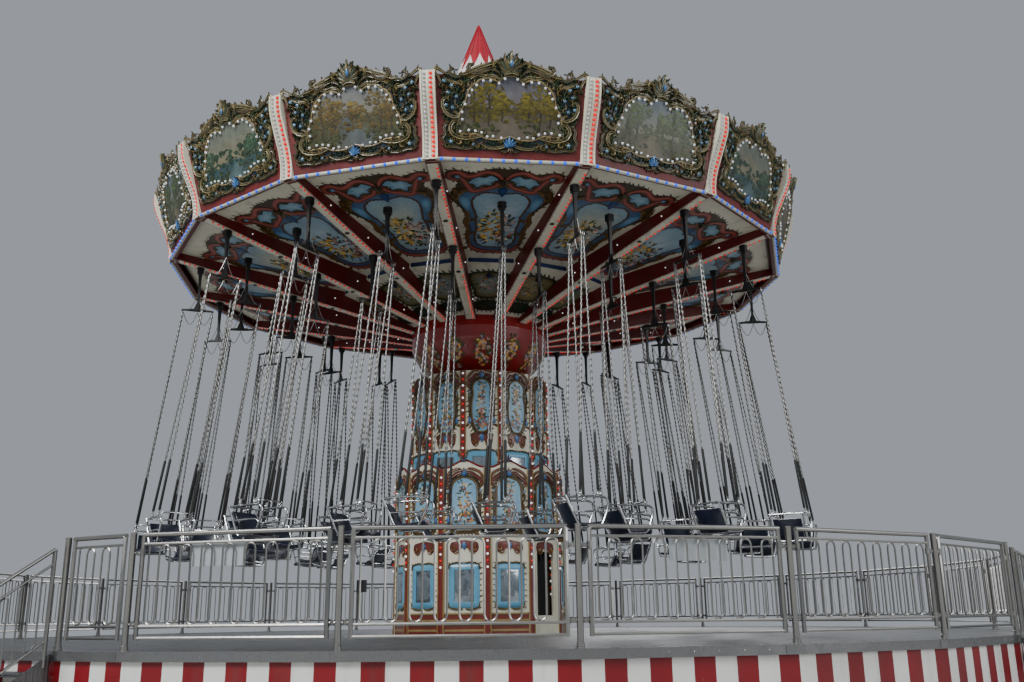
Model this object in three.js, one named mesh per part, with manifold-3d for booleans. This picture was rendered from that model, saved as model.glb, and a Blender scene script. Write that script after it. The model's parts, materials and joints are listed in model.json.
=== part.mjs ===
// Chair swing ride: a telescoping, tilting centre tower that carries a sixteen-sided crown with
// forty-eight chairs, over a round fenced deck. Millimetres, +Z up, origin on the tower's axis at
// ground level. A bearing is counted from -Y, the front, towards +X.
import * as THREE from "three";
import { mergeVertices } from "three/addons/utils/BufferGeometryUtils.js";
import Module from "manifold-3d";

const wasm = await Module();
wasm.setup();

// Driving dimensions
const CROWN_RADIUS = 5100; // at the corners of the rounding boards' lower edge
const CROWN_SIDES = 16;
const CROWN_BEARING = -4.88; // of the first corner
const DECK_TOP = 900;
const SEAT = 0.3; // gap between pieces that rest on each other
const JOIN = 4; // how far the parts of one weldment reach into each other

// Crown: leaning boards, and a ceiling that rises outwards over the sweeps with one step
const BOARD_FOOT = DECK_TOP + 5794;
const BOARD_RISE = 1040;
const BOARD_LEAN = 306;
const BOARD_SHEET = 60;
const CREST_RISE = 280;
const RIB_WIDTH = 180;
const RIB_ROOT = 45;
const CEILING_STEP = 2310;
const CEILING_SHEET = 30;
const CEILING_OUTER = { foot: DECK_TOP + 5132, slope: 0.16 };
const CEILING_INNER = { foot: DECK_TOP + 4513, slope: 0.397 };
const ROOF_EAVE = DECK_TOP + 6100;
const ROOF_PEAK = DECK_TOP + 7905;
const ROOF_SHEET = 40;
const SPIRE_RADIUS = 1130;
const SPIRE_TIP = DECK_TOP + 11036;

// Sweeps, hangers and chairs
const SWEEP_WIDTH = 170;
const SWEEP_HUB = { reach: 1145, under: DECK_TOP + 4888 };
const SWEEP_BEND = { reach: 2355, under: DECK_TOP + 5188 };
const SWEEP_END = { reach: 4990, under: DECK_TOP + 5800 };
const OUTER_HANGER = 4646;
const MIDDLE_HANGER = 4024;
const INNER_HANGER = 3167;
const MIDDLE_HEAD = DECK_TOP + 5678;
const HEAD_DEPTH = 100;
const HEAD_WIDTH = 110;
const ROD_WIDTH = 48;
const HANGER_DROP = 720;
const ARM_LEVEL = DECK_TOP + 1566;
const ARM_SPACING = 450;
const ARM_SHEET = 28;
const CHAIN_RADIUS = 12;
const SPREADER_HALF = 22;
const CHAIR_SWING = 0.09; // how far a chair swings outwards, over its hanger's distance from the axis
const CHAIR_LAG = 0.045; // the same for how far it hangs back against the turning

// Tower
const TOWER_SIDES = 12;
const PIVOT = DECK_TOP + 5079;
const BOWL_SPHERE = 1228;
const BOWL_RADIUS = 1145;
const BOWL_MOUTH = 600;
const BOWL_WALL = 25;
const BOWL_TOP = PIVOT + 271;
const UPPER_RADIUS = 1148;
const UPPER_BEARING = -11.27;
const UPPER_FOOT = DECK_TOP + 200;
const UPPER_TOP = DECK_TOP + 4049;
const SPIDER_LEVEL = DECK_TOP + 3740;
const LOWER_RADIUS = 1362;
const LOWER_BEARING = 6.73;
const LOWER_TOP = DECK_TOP + 2467;
const LOWER_ARCH = 108;
const ARCH_STEPS = 8;
const WALL = 40;
const PILASTER_HALF = 52;
const PILASTER_RISE = 18;
const PILASTER_TOP = DECK_TOP + 2458;
const HATCH_PANEL = 1;
const HATCH = { half: 205, low: DECK_TOP + 275, high: DECK_TOP + 1224 };
const ROUND_SIDES = 24;
const MAST_RADIUS = 320;
const MAST_FOOT = 120;
const MAST_TOP = PIVOT - 260;
const SOCKET_RADIUS = 420;
const SOCKET_BORE = MAST_RADIUS + 0.9;
const SOCKET_FOOT = 60;
const SOCKET_TOP = DECK_TOP + 1700;

// Tilt fork, pin and spindle
const CHEEK_INNER = 150;
const CHEEK_OUTER = 230;
const CHEEK_HALF = 140;
const HEAD_HALF = 130;
const PIN_RADIUS = 60;
const PIN_BORE = PIN_RADIUS + 0.82;
const SPINDLE_RADIUS = 120;
const SPINDLE_BORE = SPINDLE_RADIUS + 1.4;
const SPINDLE_TOP = PIVOT + 900;
const BEARING_RADIUS = 180;
const BEARING_FOOT = PIVOT + 210;
const HUB_SHEET = 40;
const KING_POST_RADIUS = 90;

// Deck, skirt and chassis
const DECK_SIDES = 24;
const DECK_BEARING = -6.84;
const DECK_RADIUS = 7870;
const DECK_SHEET = 80;
const SKIRT_SHEET = 25;
const SKIRT_INSET = 30;
const PEDESTAL_RADIUS = 1000;
const SPOKES = 6;
const SPOKE_REACH = 7500;
const SPOKE_HALF = 80;
const SPOKE_DEPTH = 220;
const LEG_HALF = 110;

// Fence and stairs
const FENCE_INSET = 45;
const FENCE_HEIGHT = 1038;
const POST_HALF = 30;
const PANEL_SHEET = 30;
const PANEL_FOOT = 100;
const PANEL_SIDE = 100;
const BAR_WIDTH = 24;
const BARS = 1;
const STAIR_BAYS = { entry_stair: -2, exit_stair: 4 };
const STAIR_SIDE = 120; // along the bay, where the part panel ends and the stair begins
const STAIR_WIDTH = 1060;
const RISER = 180;
const TREAD = 280;
const TREAD_SHEET = 40;
const STRINGER_SHEET = 30;
const HANDRAIL = 980;

const RAD = Math.PI / 180;
const crownHalf = Math.PI / CROWN_SIDES;
const deckHalf = Math.PI / DECK_SIDES;
const towerHalf = Math.PI / TOWER_SIDES;

// Finishes
const finish = (color, roughness, metalness) =>
  new THREE.MeshStandardMaterial({ color, roughness, metalness });
const creamPaint = finish(0xd8d4c0, 0.5, 0);
const ivoryPaint = finish(0xe6e2d2, 0.45, 0);
const maroonPaint = finish(0x6d2a28, 0.5, 0);
const crimsonPaint = finish(0x6e0f10, 0.4, 0);
const stripedPaint = finish(0xa81c24, 0.5, 0);
const stainless = finish(0x9a9a9a, 0.35, 1);
const treadPlate = finish(0x8f8f92, 0.5, 1);
const darkSteel = finish(0x2b2c2e, 0.5, 0.6);
const canvas = finish(0xb4242a, 0.8, 0);

// Shapes. Each is welded where it is made, before it is moved to its place.

// A geometry with its equal vertices made one.
function welded(geometry) {
  geometry.deleteAttribute("normal");
  geometry.deleteAttribute("uv");
  return mergeVertices(geometry, 1e-3);
}

// A box given by its lowest and highest corner.
function block(low, high) {
  const size = high.map((value, i) => value - low[i]);
  const middle = high.map((value, i) => (value + low[i]) / 2);
  return welded(new THREE.BoxGeometry(...size)).translate(...middle);
}

// A straight bar between two points.
function bar(from, to, radius, sides) {
  const start = new THREE.Vector3(...from);
  const along = new THREE.Vector3(...to).sub(start);
  const length = along.length();
  const geometry = welded(new THREE.CylinderGeometry(radius, radius, length, sides));
  const turn = new THREE.Quaternion();
  turn.setFromUnitVectors(new THREE.Vector3(0, 1, 0), along.normalize());
  return geometry.translate(0, length / 2, 0).applyQuaternion(turn).translate(...from);
}

// An upright cylinder on the axis; its first corner is at the front.
function post(radius, low, high, sides) {
  const geometry = welded(new THREE.CylinderGeometry(radius, radius, high - low, sides));
  return geometry.rotateX(Math.PI / 2).translate(0, 0, (low + high) / 2);
}

// A closed profile of radius and height, turned round the axis; its first corner is at the front.
function lathe(profile, sides) {
  const points = [...profile, profile[0]].map(([x, y]) => new THREE.Vector2(x, y));
  return welded(new THREE.LatheGeometry(points, sides)).rotateX(Math.PI / 2);
}

// A flat outline raised along +Z to a thickness.
function prism(outline, depth) {
  const shape = new THREE.Shape(outline.map(([x, y]) => new THREE.Vector2(x, y)));
  return welded(new THREE.ExtrudeGeometry(shape, { depth, bevelEnabled: false }));
}

// The same with holes cut through it.
function plate(outline, thickness, holes = []) {
  const sheet = prism(outline, thickness);
  if (holes.length === 0) return sheet;
  const cutters = holes.map((hole) => prism(hole, 3 * thickness).translate(0, 0, -thickness));
  return geometryOf(solid(sheet).subtract(joined(cutters)));
}

// The same outline stood upright: its values run along Y and Z, its thickness inwards from a face.
function uprightPlate(outline, face, thickness, holes = []) {
  const geometry = plate(outline, thickness, holes).rotateY(Math.PI / 2).rotateX(Math.PI / 2);
  return geometry.translate(face - thickness, 0, 0);
}

// A profile of radius and height, with a width centred on a place along Y.
function sideProfile(outline, width, centre = 0) {
  return plate(outline, width).rotateX(Math.PI / 2).translate(0, centre + width / 2, 0);
}

const rectangle = (left, right, low, high) => [
  [left, low],
  [right, low],
  [right, high],
  [left, high],
];

// Turns about the axis: a shape made along +X is turned to a bearing.
const turnOf = (bearing) => (bearing - 90) * RAD;
const turned = (geometry, bearing) => geometry.clone().rotateZ(turnOf(bearing));

// Corners of a regular polygon about the axis.
function ring(radius, sides, bearing, count = sides) {
  return Array.from({ length: count }, (_, i) => {
    const angle = turnOf(bearing + (i * 360) / sides);
    return [radius * Math.cos(angle), radius * Math.sin(angle)];
  });
}

// A part of a polygonal band between two radii.
function band(outer, inner, sides, bearing, bays) {
  const inside = ring(inner, sides, bearing, bays + 1).reverse();
  return [...ring(outer, sides, bearing, bays + 1), ...inside];
}

// A geometry moved level towards a bearing.
function nudged(geometry, bearing, distance) {
  const angle = turnOf(bearing);
  return geometry.translate(distance * Math.cos(angle), distance * Math.sin(angle), 0);
}

// Solids

// A welded geometry as a solid that can be joined and cut.
function solid(geometry) {
  const vertProperties = geometry.attributes.position.array;
  const triVerts = new Uint32Array(geometry.index.array);
  return new wasm.Manifold(new wasm.Mesh({ numProp: 3, vertProperties, triVerts }));
}

const joined = (geometries) => geometries.map(solid).reduce((whole, part) => whole.add(part));

// A solid back as a welded geometry.
function geometryOf(body) {
  const mesh = body.getMesh();
  const geometry = new THREE.BufferGeometry();
  geometry.setAttribute("position", new THREE.BufferAttribute(mesh.vertProperties, 3));
  geometry.setIndex(Array.from(mesh.triVerts));
  return geometry;
}

const ride = new THREE.Group();
const crown = new THREE.Group();
ride.add(crown);

// A named piece with flat faces.
function piece(name, geometry, material, parent = ride) {
  const faces = geometry.toNonIndexed();
  faces.computeVertexNormals();
  const mesh = new THREE.Mesh(faces, material);
  mesh.name = name;
  parent.add(mesh);
  return mesh;
}

// Chassis: a pedestal with spokes that stand on legs, under the deck
const chassisTop = DECK_TOP - DECK_SHEET - SEAT;
function chassis() {
  const parts = [post(PEDESTAL_RADIUS, 0, chassisTop, TOWER_SIDES)];
  const spokeFoot = chassisTop - SPOKE_DEPTH;
  for (let i = 0; i < SPOKES; i += 1) {
    const bearing = ((i + 0.5) * 360) / SPOKES;
    const spoke = block([PEDESTAL_RADIUS - 100, -SPOKE_HALF, spokeFoot], [SPOKE_REACH, SPOKE_HALF, chassisTop]);
    const leg = block([SPOKE_REACH - 200, -LEG_HALF, 0], [SPOKE_REACH - 20, LEG_HALF, spokeFoot + 100]);
    parts.push(turned(spoke, bearing), turned(leg, bearing));
  }
  const bore = post(SOCKET_RADIUS + SEAT, SOCKET_FOOT, DECK_TOP, ROUND_SIDES);
  return geometryOf(joined(parts).subtract(solid(bore)));
}
piece("chassis", chassis(), darkSteel);

const socketProfile = rectangle(SOCKET_BORE, SOCKET_RADIUS, SOCKET_FOOT + SEAT, SOCKET_TOP);
piece("mast_socket", lathe(socketProfile, ROUND_SIDES), darkSteel);

// Deck in two halves round the mast socket
for (const half of [0, 1]) {
  const bearing = DECK_BEARING + half * 180;
  const outline = band(DECK_RADIUS, SOCKET_RADIUS + 12, DECK_SIDES, bearing, DECK_SIDES / 2);
  const sheet = plate(outline, DECK_SHEET).translate(0, 0, DECK_TOP - DECK_SHEET);
  piece(`deck_${half + 1}`, nudged(sheet, bearing + 90, SEAT / 2), treadPlate);
}

// Skirt round the deck in three bands
const skirtRadius = DECK_RADIUS - SKIRT_INSET;
for (let i = 0; i < 3; i += 1) {
  const bearing = DECK_BEARING + i * 120;
  const inner = skirtRadius - SKIRT_SHEET / Math.cos(deckHalf);
  const outline = band(skirtRadius, inner, DECK_SIDES, bearing, DECK_SIDES / 3);
  piece(`skirt_${i + 1}`, nudged(plate(outline, chassisTop), bearing + 60, SEAT), stripedPaint);
}

// Fence: flat panels with upright bars between posts
const fenceRadius = DECK_RADIUS - FENCE_INSET;
const fenceApothem = fenceRadius * Math.cos(deckHalf);
const fenceReach = fenceRadius * Math.sin(deckHalf);
const deckBearing = (corner) => DECK_BEARING + (corner * 360) / DECK_SIDES;

// A panel between two places along its bay.
function fencePanel(from, to, bars) {
  const low = DECK_TOP + PANEL_FOOT;
  const high = DECK_TOP + FENCE_HEIGHT;
  const holes = [];
  const pitch = (to - from - 2 * PANEL_SIDE + BAR_WIDTH) / (bars + 1);
  for (let i = 0; i <= bars; i += 1) {
    const start = from + PANEL_SIDE + i * pitch;
    holes.push(rectangle(start, start + pitch - BAR_WIDTH, low + 118, high - 99));
  }
  const outline = rectangle(from, to, low, high);
  return uprightPlate(outline, fenceApothem + PANEL_SHEET / 2, PANEL_SHEET, holes);
}

const postTop = DECK_TOP + FENCE_HEIGHT + 4;
const fencePost = (x, y) =>
  block([x - POST_HALF, y - POST_HALF, DECK_TOP + SEAT], [x + POST_HALF, y + POST_HALF, postTop]);

// A run of whole panels, each held halfway into its posts. A run that follows another leaves it
// their common post, and a run that starts beside a stair also has the part panel there.
function fenceRun({ first, last, follows, besideStair }) {
  const parts = [];
  const end = fenceReach - POST_HALF / 2;
  const skew = (PANEL_SHEET / 2) * Math.sin(deckHalf);
  const clear = fenceReach - (POST_HALF + SEAT + skew) / Math.cos(deckHalf);
  for (let bay = first; bay <= last; bay += 1) {
    const start = follows && bay === first ? clear : end;
    parts.push(turned(fencePanel(-start, end, BARS), deckBearing(bay + 0.5)));
  }
  for (let corner = first + (follows ? 1 : 0); corner <= last + 1; corner += 1) {
    parts.push(turned(fencePost(fenceRadius, 0), deckBearing(corner)));
  }
  if (besideStair) {
    const bearing = deckBearing(first - 0.5);
    parts.push(turned(fencePanel(STAIR_SIDE + POST_HALF / 2, end, 0), bearing));
    parts.push(turned(fencePost(fenceApothem, STAIR_SIDE), bearing));
  }
  return geometryOf(joined(parts));
}

const fenceRuns = [
  { first: -1, last: 0, follows: false, besideStair: true },
  { first: 1, last: 3, follows: true, besideStair: false },
  { first: 5, last: 8, follows: false, besideStair: true },
  { first: 9, last: 12, follows: true, besideStair: false },
  { first: 13, last: 16, follows: true, besideStair: false },
  { first: 17, last: 21, follows: true, besideStair: false },
];
fenceRuns.forEach((run, i) => piece(`fence_${i + 1}`, fenceRun(run), stainless));

// Stairs: treads between two stringers, each with a handrail on posts
function stair() {
  const start = DECK_RADIUS * Math.cos(deckHalf) + SEAT;
  const steps = DECK_TOP / RISER - 1;
  const end = start + steps * TREAD;
  const near = start + 60;
  const sides = [STAIR_SIDE - 40 - STAIR_WIDTH, STAIR_SIDE - 40];
  const slope = (reach) => DECK_TOP - ((reach - start) * RISER) / TREAD;
  const stringer = [
    [start, DECK_TOP - 330],
    [start, DECK_TOP - 20],
    [end + 40, 150],
    [end + 40, 0],
    [end - 130, 0],
  ];
  const parts = [];
  for (let step = 0; step < steps; step += 1) {
    const top = DECK_TOP - (step + 1) * RISER;
    const low = [start + step * TREAD, sides[0], top - TREAD_SHEET];
    parts.push(block(low, [start + (step + 1) * TREAD, sides[1], top]));
  }
  for (const side of sides) {
    parts.push(sideProfile(stringer, STRINGER_SHEET, side));
    for (const reach of [near, end]) {
      const top = [reach, side, slope(reach) + HANDRAIL];
      parts.push(bar([reach, side, slope(reach) - 160], top, 24, 4));
    }
    const [high, low] = [near - 40, end + 60];
    parts.push(bar([high, side, slope(high) + HANDRAIL], [low, side, slope(low) + HANDRAIL], 18, 4));
  }
  return geometryOf(joined(parts));
}
const stairGeometry = stair();
for (const [name, bay] of Object.entries(STAIR_BAYS)) {
  piece(name, stairGeometry, stainless).rotation.z = turnOf(deckBearing(bay + 0.5));
}

// Lower housing: twelve panels with arched tops between pilasters, and a hatch in one of them
const lowerApothem = LOWER_RADIUS * Math.cos(towerHalf);
const lowerClear = LOWER_RADIUS * Math.sin(towerHalf) - PILASTER_HALF;
const wallFoot = DECK_TOP + SEAT;

// A pilaster folded round the corner of two panels.
function pilaster() {
  const spread = (run, rise) => [
    LOWER_RADIUS - run * Math.sin(towerHalf) + rise * Math.cos(towerHalf),
    run * Math.cos(towerHalf) + rise * Math.sin(towerHalf),
  ];
  const half = [spread(0, 0), spread(PILASTER_HALF, PILASTER_RISE), spread(PILASTER_HALF, -WALL)];
  half[0] = [LOWER_RADIUS + PILASTER_RISE / Math.cos(towerHalf), 0];
  const back = [LOWER_RADIUS - WALL / Math.cos(towerHalf), 0];
  const mirrored = half.slice(1).reverse().map(([x, y]) => [x, -y]);
  return plate([...half, back, ...mirrored], PILASTER_TOP - wallFoot).translate(0, 0, wallFoot);
}

// A panel whose top edge rises in a smooth arch to its middle.
function lowerPanel(from, to, holes) {
  const arch = Array.from({ length: ARCH_STEPS + 1 }, (_, i) => {
    const share = i / ARCH_STEPS;
    const rise = (1 - Math.cos(2 * Math.PI * share)) / 2;
    return [to + (from - to) * share, LOWER_TOP + rise * LOWER_ARCH];
  });
  return uprightPlate([[from, wallFoot], [to, wallFoot], ...arch], lowerApothem, WALL, holes);
}

function lowerWall(first) {
  const parts = [];
  for (let i = first; i < first + 3; i += 1) {
    const from = i === first ? SEAT - lowerClear : -lowerClear - JOIN;
    const holes = i === HATCH_PANEL ? [rectangle(-HATCH.half, HATCH.half, HATCH.low, HATCH.high)] : [];
    const corner = LOWER_BEARING + i * 30;
    parts.push(turned(lowerPanel(from, lowerClear + JOIN, holes), corner + 15));
    parts.push(turned(pilaster(), corner + 30));
  }
  return geometryOf(joined(parts));
}
for (let i = 0; i < 4; i += 1) piece(`lower_wall_${i + 1}`, lowerWall(3 * i), creamPaint);

// Upper housing with the spider plate that carries it on the mast
function upperHousing() {
  const outline = (radius) => ring(radius, TOWER_SIDES, UPPER_BEARING);
  const inside = outline(UPPER_RADIUS - WALL / Math.cos(towerHalf)).reverse();
  const collar = ring(MAST_RADIUS + SEAT, ROUND_SIDES, 0).reverse();
  const shell = plate(outline(UPPER_RADIUS), UPPER_TOP - UPPER_FOOT, [inside]);
  const spider = plate(outline(UPPER_RADIUS - WALL / 2), WALL, [collar]);
  shell.translate(0, 0, UPPER_FOOT);
  return geometryOf(joined([shell, spider.translate(0, 0, SPIDER_LEVEL)]));
}
piece("upper_housing", upperHousing(), creamPaint);

// Mast with the fork that holds the tilt head
function mast() {
  const cheek = (left, right) =>
    block([left, -CHEEK_HALF, MAST_TOP - 20], [right, CHEEK_HALF, PIVOT + CHEEK_HALF]);
  const column = post(MAST_RADIUS, MAST_FOOT, MAST_TOP, ROUND_SIDES);
  const fork = [cheek(-CHEEK_OUTER, -CHEEK_INNER), cheek(CHEEK_INNER, CHEEK_OUTER)];
  const bore = bar([-MAST_RADIUS, 0, PIVOT], [MAST_RADIUS, 0, PIVOT], PIN_BORE, ROUND_SIDES);
  return geometryOf(joined([column, ...fork]).subtract(solid(bore)));
}
piece("mast", mast(), darkSteel);

// Tilt head: a block on a pin, with the upright spindle that the crown turns on
function tiltHead() {
  const side = CHEEK_INNER - 5;
  const core = block([-side, -HEAD_HALF, PIVOT - HEAD_HALF], [side, HEAD_HALF, PIVOT + HEAD_HALF]);
  const pin = bar([-CHEEK_OUTER, 0, PIVOT], [CHEEK_OUTER, 0, PIVOT], PIN_RADIUS, ROUND_SIDES);
  const spindle = post(SPINDLE_RADIUS, PIVOT, SPINDLE_TOP, ROUND_SIDES);
  return geometryOf(joined([core, pin, spindle]));
}
piece("tilt_head", tiltHead(), darkSteel);

// Hub: bearing tube, hub disc and king post in one weldment
function hub() {
  const disc = post(BOWL_RADIUS - BOWL_WALL - SEAT, BOWL_TOP - HUB_SHEET, BOWL_TOP, ROUND_SIDES);
  const bearing = post(BEARING_RADIUS, BEARING_FOOT, SPINDLE_TOP + 60, TOWER_SIDES);
  const kingPost = post(KING_POST_RADIUS, SPINDLE_TOP + 30, ROOF_PEAK, TOWER_SIDES);
  const bore = post(SPINDLE_BORE, PIVOT, SPINDLE_TOP + SEAT, ROUND_SIDES);
  return geometryOf(joined([disc, bearing, kingPost]).subtract(solid(bore)));
}
piece("hub", hub(), darkSteel, crown);

// Bowl: a drum over a part of a sphere about the tilt pivot, open at its foot round the mast
function bowl() {
  const arcSteps = 3;
  const wall = (inset) => {
    const sphere = BOWL_SPHERE - inset;
    const start = Math.asin(BOWL_MOUTH / sphere);
    const end = Math.asin((BOWL_RADIUS - inset) / sphere);
    const arc = Array.from({ length: arcSteps + 1 }, (_, i) => {
      const angle = start + ((end - start) * i) / arcSteps;
      return [sphere * Math.sin(angle), PIVOT - sphere * Math.cos(angle)];
    });
    return [...arc, [BOWL_RADIUS - inset, BOWL_TOP]];
  };
  return lathe([...wall(0), ...wall(BOWL_WALL).reverse()], ROUND_SIDES);
}
piece("bowl", bowl(), crimsonPaint, crown);

// Rounding boards: leaning panels with a raised crest, and an ogee rib at each corner
const boardApothem = CROWN_RADIUS * Math.cos(crownHalf);
const boardSlope = (BOARD_LEAN * Math.cos(crownHalf)) / BOARD_RISE;
const boardAngle = Math.atan(boardSlope);
const crownBearing = (corner) => CROWN_BEARING + (corner * 360) / CROWN_SIDES;

// How far a board's back is from the axis at a height, square to the board.
const boardBack = (level) =>
  boardApothem + (level - BOARD_FOOT) * boardSlope - BOARD_SHEET / Math.cos(boardAngle);

function board(from, to) {
  const height = BOARD_RISE / Math.cos(boardAngle);
  const head = (CROWN_RADIUS + BOARD_LEAN) * Math.sin(crownHalf);
  const widening = BOARD_LEAN * Math.sin(crownHalf);
  const crest = [
    [0.62, 0],
    [0.4, 0.42],
    [0.14, 0.8],
  ].map(([run, rise]) => [run * head, height + rise * CREST_RISE]);
  const mirrored = crest.map(([run, rise]) => [-run, rise]).reverse();
  const top = [[to + widening, height], ...crest, [0, height + CREST_RISE], ...mirrored];
  const outline = [[from, 0], [to, 0], ...top, [from - widening, height]];
  const upright = uprightPlate(outline, 0, BOARD_SHEET).rotateY(boardAngle);
  return upright.translate(boardApothem, 0, BOARD_FOOT);
}

function rib() {
  const face = [
    [25, 0],
    [30, 0.15],
    [80, 0.34],
    [205, 0.6],
    [300, 0.82],
    [326, 1.03],
  ];
  const back = [
    [BOARD_LEAN * 1.03 - RIB_ROOT, 1.03],
    [-RIB_ROOT, 0],
  ];
  const place = ([out, share]) => [CROWN_RADIUS + out, BOARD_FOOT + share * BOARD_RISE];
  return sideProfile([...face, ...back].map(place), RIB_WIDTH);
}

// Four bays with the rib at the far end of each; the first board ends clear of the last run's rib.
function boardRun(first) {
  const ribSide = (CROWN_RADIUS - RIB_ROOT) * Math.tan(crownHalf) - RIB_WIDTH / 2 - SEAT;
  const start = -ribSide * Math.cos(crownHalf);
  const end = CROWN_RADIUS * Math.sin(crownHalf) - RIB_WIDTH / 2 + JOIN;
  const parts = [];
  for (let bay = first; bay < first + 4; bay += 1) {
    parts.push(turned(board(bay === first ? start : -end, end), crownBearing(bay + 0.5)));
    parts.push(turned(rib(), crownBearing(bay + 1)));
  }
  return geometryOf(joined(parts));
}
for (let i = 0; i < 4; i += 1) {
  piece(`rounding_boards_${i + 1}`, boardRun(4 * i), maroonPaint, crown);
}

// Roof and spire
function roof() {
  const eave = (boardBack(ROOF_EAVE - ROOF_SHEET) - SEAT) / Math.cos(crownHalf);
  const profile = [
    [SPIRE_RADIUS - 30, ROOF_PEAK - ROOF_SHEET],
    [eave, ROOF_EAVE - ROOF_SHEET],
    [eave, ROOF_EAVE],
    [SPIRE_RADIUS, ROOF_PEAK],
    [SPIRE_RADIUS - 30, ROOF_PEAK],
  ];
  return lathe(profile, CROWN_SIDES);
}
function spire() {
  const height = SPIRE_TIP - ROOF_PEAK - SEAT;
  const cone = welded(new THREE.ConeGeometry(SPIRE_RADIUS, height, CROWN_SIDES));
  return cone.rotateX(Math.PI / 2).translate(0, 0, SPIRE_TIP - height / 2);
}
piece("roof", roof(), canvas, crown).rotation.z = CROWN_BEARING * RAD;
piece("spire", spire(), crimsonPaint, crown).rotation.z = CROWN_BEARING * RAD;

// A chair under its arm level: seat and back between two open arms. The values are travel and height.
function chair(reach) {
  const half = (ARM_SPACING + ARM_SHEET) / 2;
  const body = [
    [-262, 18],
    [238, 18],
    [225, -345],
    [-165, -375],
  ];
  const inside = [
    [-221, 60],
    [-110, -322],
    [300, -296],
    [300, 60],
  ];
  const sides = [
    [-176, -14],
    [207, -14],
    [197, -292],
    [-96, -311],
  ];
  // An outline stood across the radius, as far as a half width on each side of the chair's middle.
  const across = (outline, spread) => {
    const raised = outline.map(([run, rise]) => [run, rise + ARM_LEVEL]);
    return solid(uprightPlate(raised, reach + spread, 2 * spread));
  };
  const cut = across(inside, half - ARM_SHEET).add(across(sides, 2 * half));
  return across(body, half).subtract(cut);
}

// A hanger at a distance from the axis: head, rod, spreader and four chains that hold a chair
function hanger(reach, headTop, root) {
  const [out, back] = [CHAIR_SWING * reach, CHAIR_LAG * reach];
  const spreader = headTop - HANGER_DROP;
  const half = ARM_SPACING / 2;
  const end = half + SPREADER_HALF;
  const rod = ROD_WIDTH / 2;
  const boss = HEAD_WIDTH / 2;
  const parts = [
    block([reach - boss, -boss, headTop - HEAD_DEPTH], [reach + boss, boss, root]),
    block([reach - rod, -rod, spreader], [reach + rod, rod, headTop - HEAD_DEPTH + JOIN]),
    block(
      [reach - end, -SPREADER_HALF, spreader - SPREADER_HALF],
      [reach + end, SPREADER_HALF, spreader + SPREADER_HALF],
    ),
  ];
  for (const side of [reach - half, reach + half]) {
    for (const [run, start] of [[-90, -8], [130, 8]]) {
      const foot = [side + out, run - back, ARM_LEVEL + 6];
      parts.push(bar([side, start, spreader], foot, CHAIN_RADIUS, 3));
    }
  }
  return joined(parts).add(chair(reach + out).translate([0, -back, 0]));
}

// Sweeps: a beam under the joint of two ceiling bays, with an outer and an inner hanger
const ceilingOuter = (distance) => CEILING_OUTER.foot + CEILING_OUTER.slope * distance;
const ceilingInner = (distance) => CEILING_INNER.foot + CEILING_INNER.slope * distance;
function sweepUnder(reach) {
  const [from, to] = reach < SWEEP_BEND.reach ? [SWEEP_HUB, SWEEP_BEND] : [SWEEP_BEND, SWEEP_END];
  const share = (reach - from.reach) / (to.reach - from.reach);
  return from.under + share * (to.under - from.under);
}
function sweep() {
  const start = SWEEP_HUB.reach + SEAT;
  const step = CEILING_STEP / Math.cos(crownHalf);
  const skew = (SWEEP_WIDTH / 2) * Math.sin(crownHalf);
  const tip = (boardBack(SWEEP_END.under) - SEAT - skew) / Math.cos(crownHalf);
  const under = (reach, height) => height(reach * Math.cos(crownHalf)) - SEAT;
  const outline = [
    [start, sweepUnder(start)],
    [SWEEP_BEND.reach, SWEEP_BEND.under],
    [SWEEP_END.reach, SWEEP_END.under],
    [tip, SWEEP_END.under],
    [tip, under(tip, ceilingOuter)],
    [step + JOIN, under(step + JOIN, ceilingOuter)],
    [step + JOIN, under(step, ceilingInner)],
    [start, under(start, ceilingInner)],
  ];
  const hang = (reach) => hanger(reach, sweepUnder(reach), sweepUnder(reach) + 20);
  const beam = solid(sideProfile(outline, SWEEP_WIDTH));
  return geometryOf(beam.add(hang(OUTER_HANGER)).add(hang(INNER_HANGER)));
}
const sweepGeometry = sweep();
for (let i = 0; i < CROWN_SIDES; i += 1) {
  const mesh = piece(`sweep_${String(i + 1).padStart(2, "0")}`, sweepGeometry, creamPaint, crown);
  mesh.rotation.z = turnOf(crownBearing(i));
}

// Ceiling: two stepped bays to a piece, each with a middle hanger
function ceilingBay(lowSide, highSide) {
  const start = BOWL_RADIUS + SEAT;
  const edge = boardBack(ceilingOuter(boardApothem) - CEILING_SHEET) - SEAT;
  const inside = CEILING_STEP - CEILING_SHEET;
  const profile = [
    [start, ceilingInner(start)],
    [CEILING_STEP, ceilingInner(CEILING_STEP)],
    [CEILING_STEP, ceilingOuter(CEILING_STEP)],
    [edge, ceilingOuter(edge)],
    [edge, ceilingOuter(edge) + CEILING_SHEET],
    [inside, ceilingOuter(inside) + CEILING_SHEET],
    [inside, ceilingInner(inside) + CEILING_SHEET],
    [start, ceilingInner(start) + CEILING_SHEET],
  ];
  const spread = Math.tan(crownHalf);
  const wedge = [
    [0, lowSide],
    [2 * edge, lowSide - 2 * edge * spread],
    [2 * edge, highSide + 2 * edge * spread],
    [0, highSide],
  ];
  const cutter = plate(wedge, ROOF_PEAK);
  const sheet = solid(sideProfile(profile, 2 * edge)).intersect(solid(cutter));
  const root = ceilingOuter(MIDDLE_HANGER) + CEILING_SHEET / 2;
  return sheet.add(hanger(MIDDLE_HANGER, MIDDLE_HEAD, root));
}
function ceiling() {
  const right = geometryOf(ceilingBay(-JOIN / 4, -SEAT)).rotateZ(crownHalf);
  const left = geometryOf(ceilingBay(SEAT, JOIN / 4)).rotateZ(-crownHalf);
  return geometryOf(joined([right, left]));
}
const ceilingGeometry = ceiling();
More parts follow.
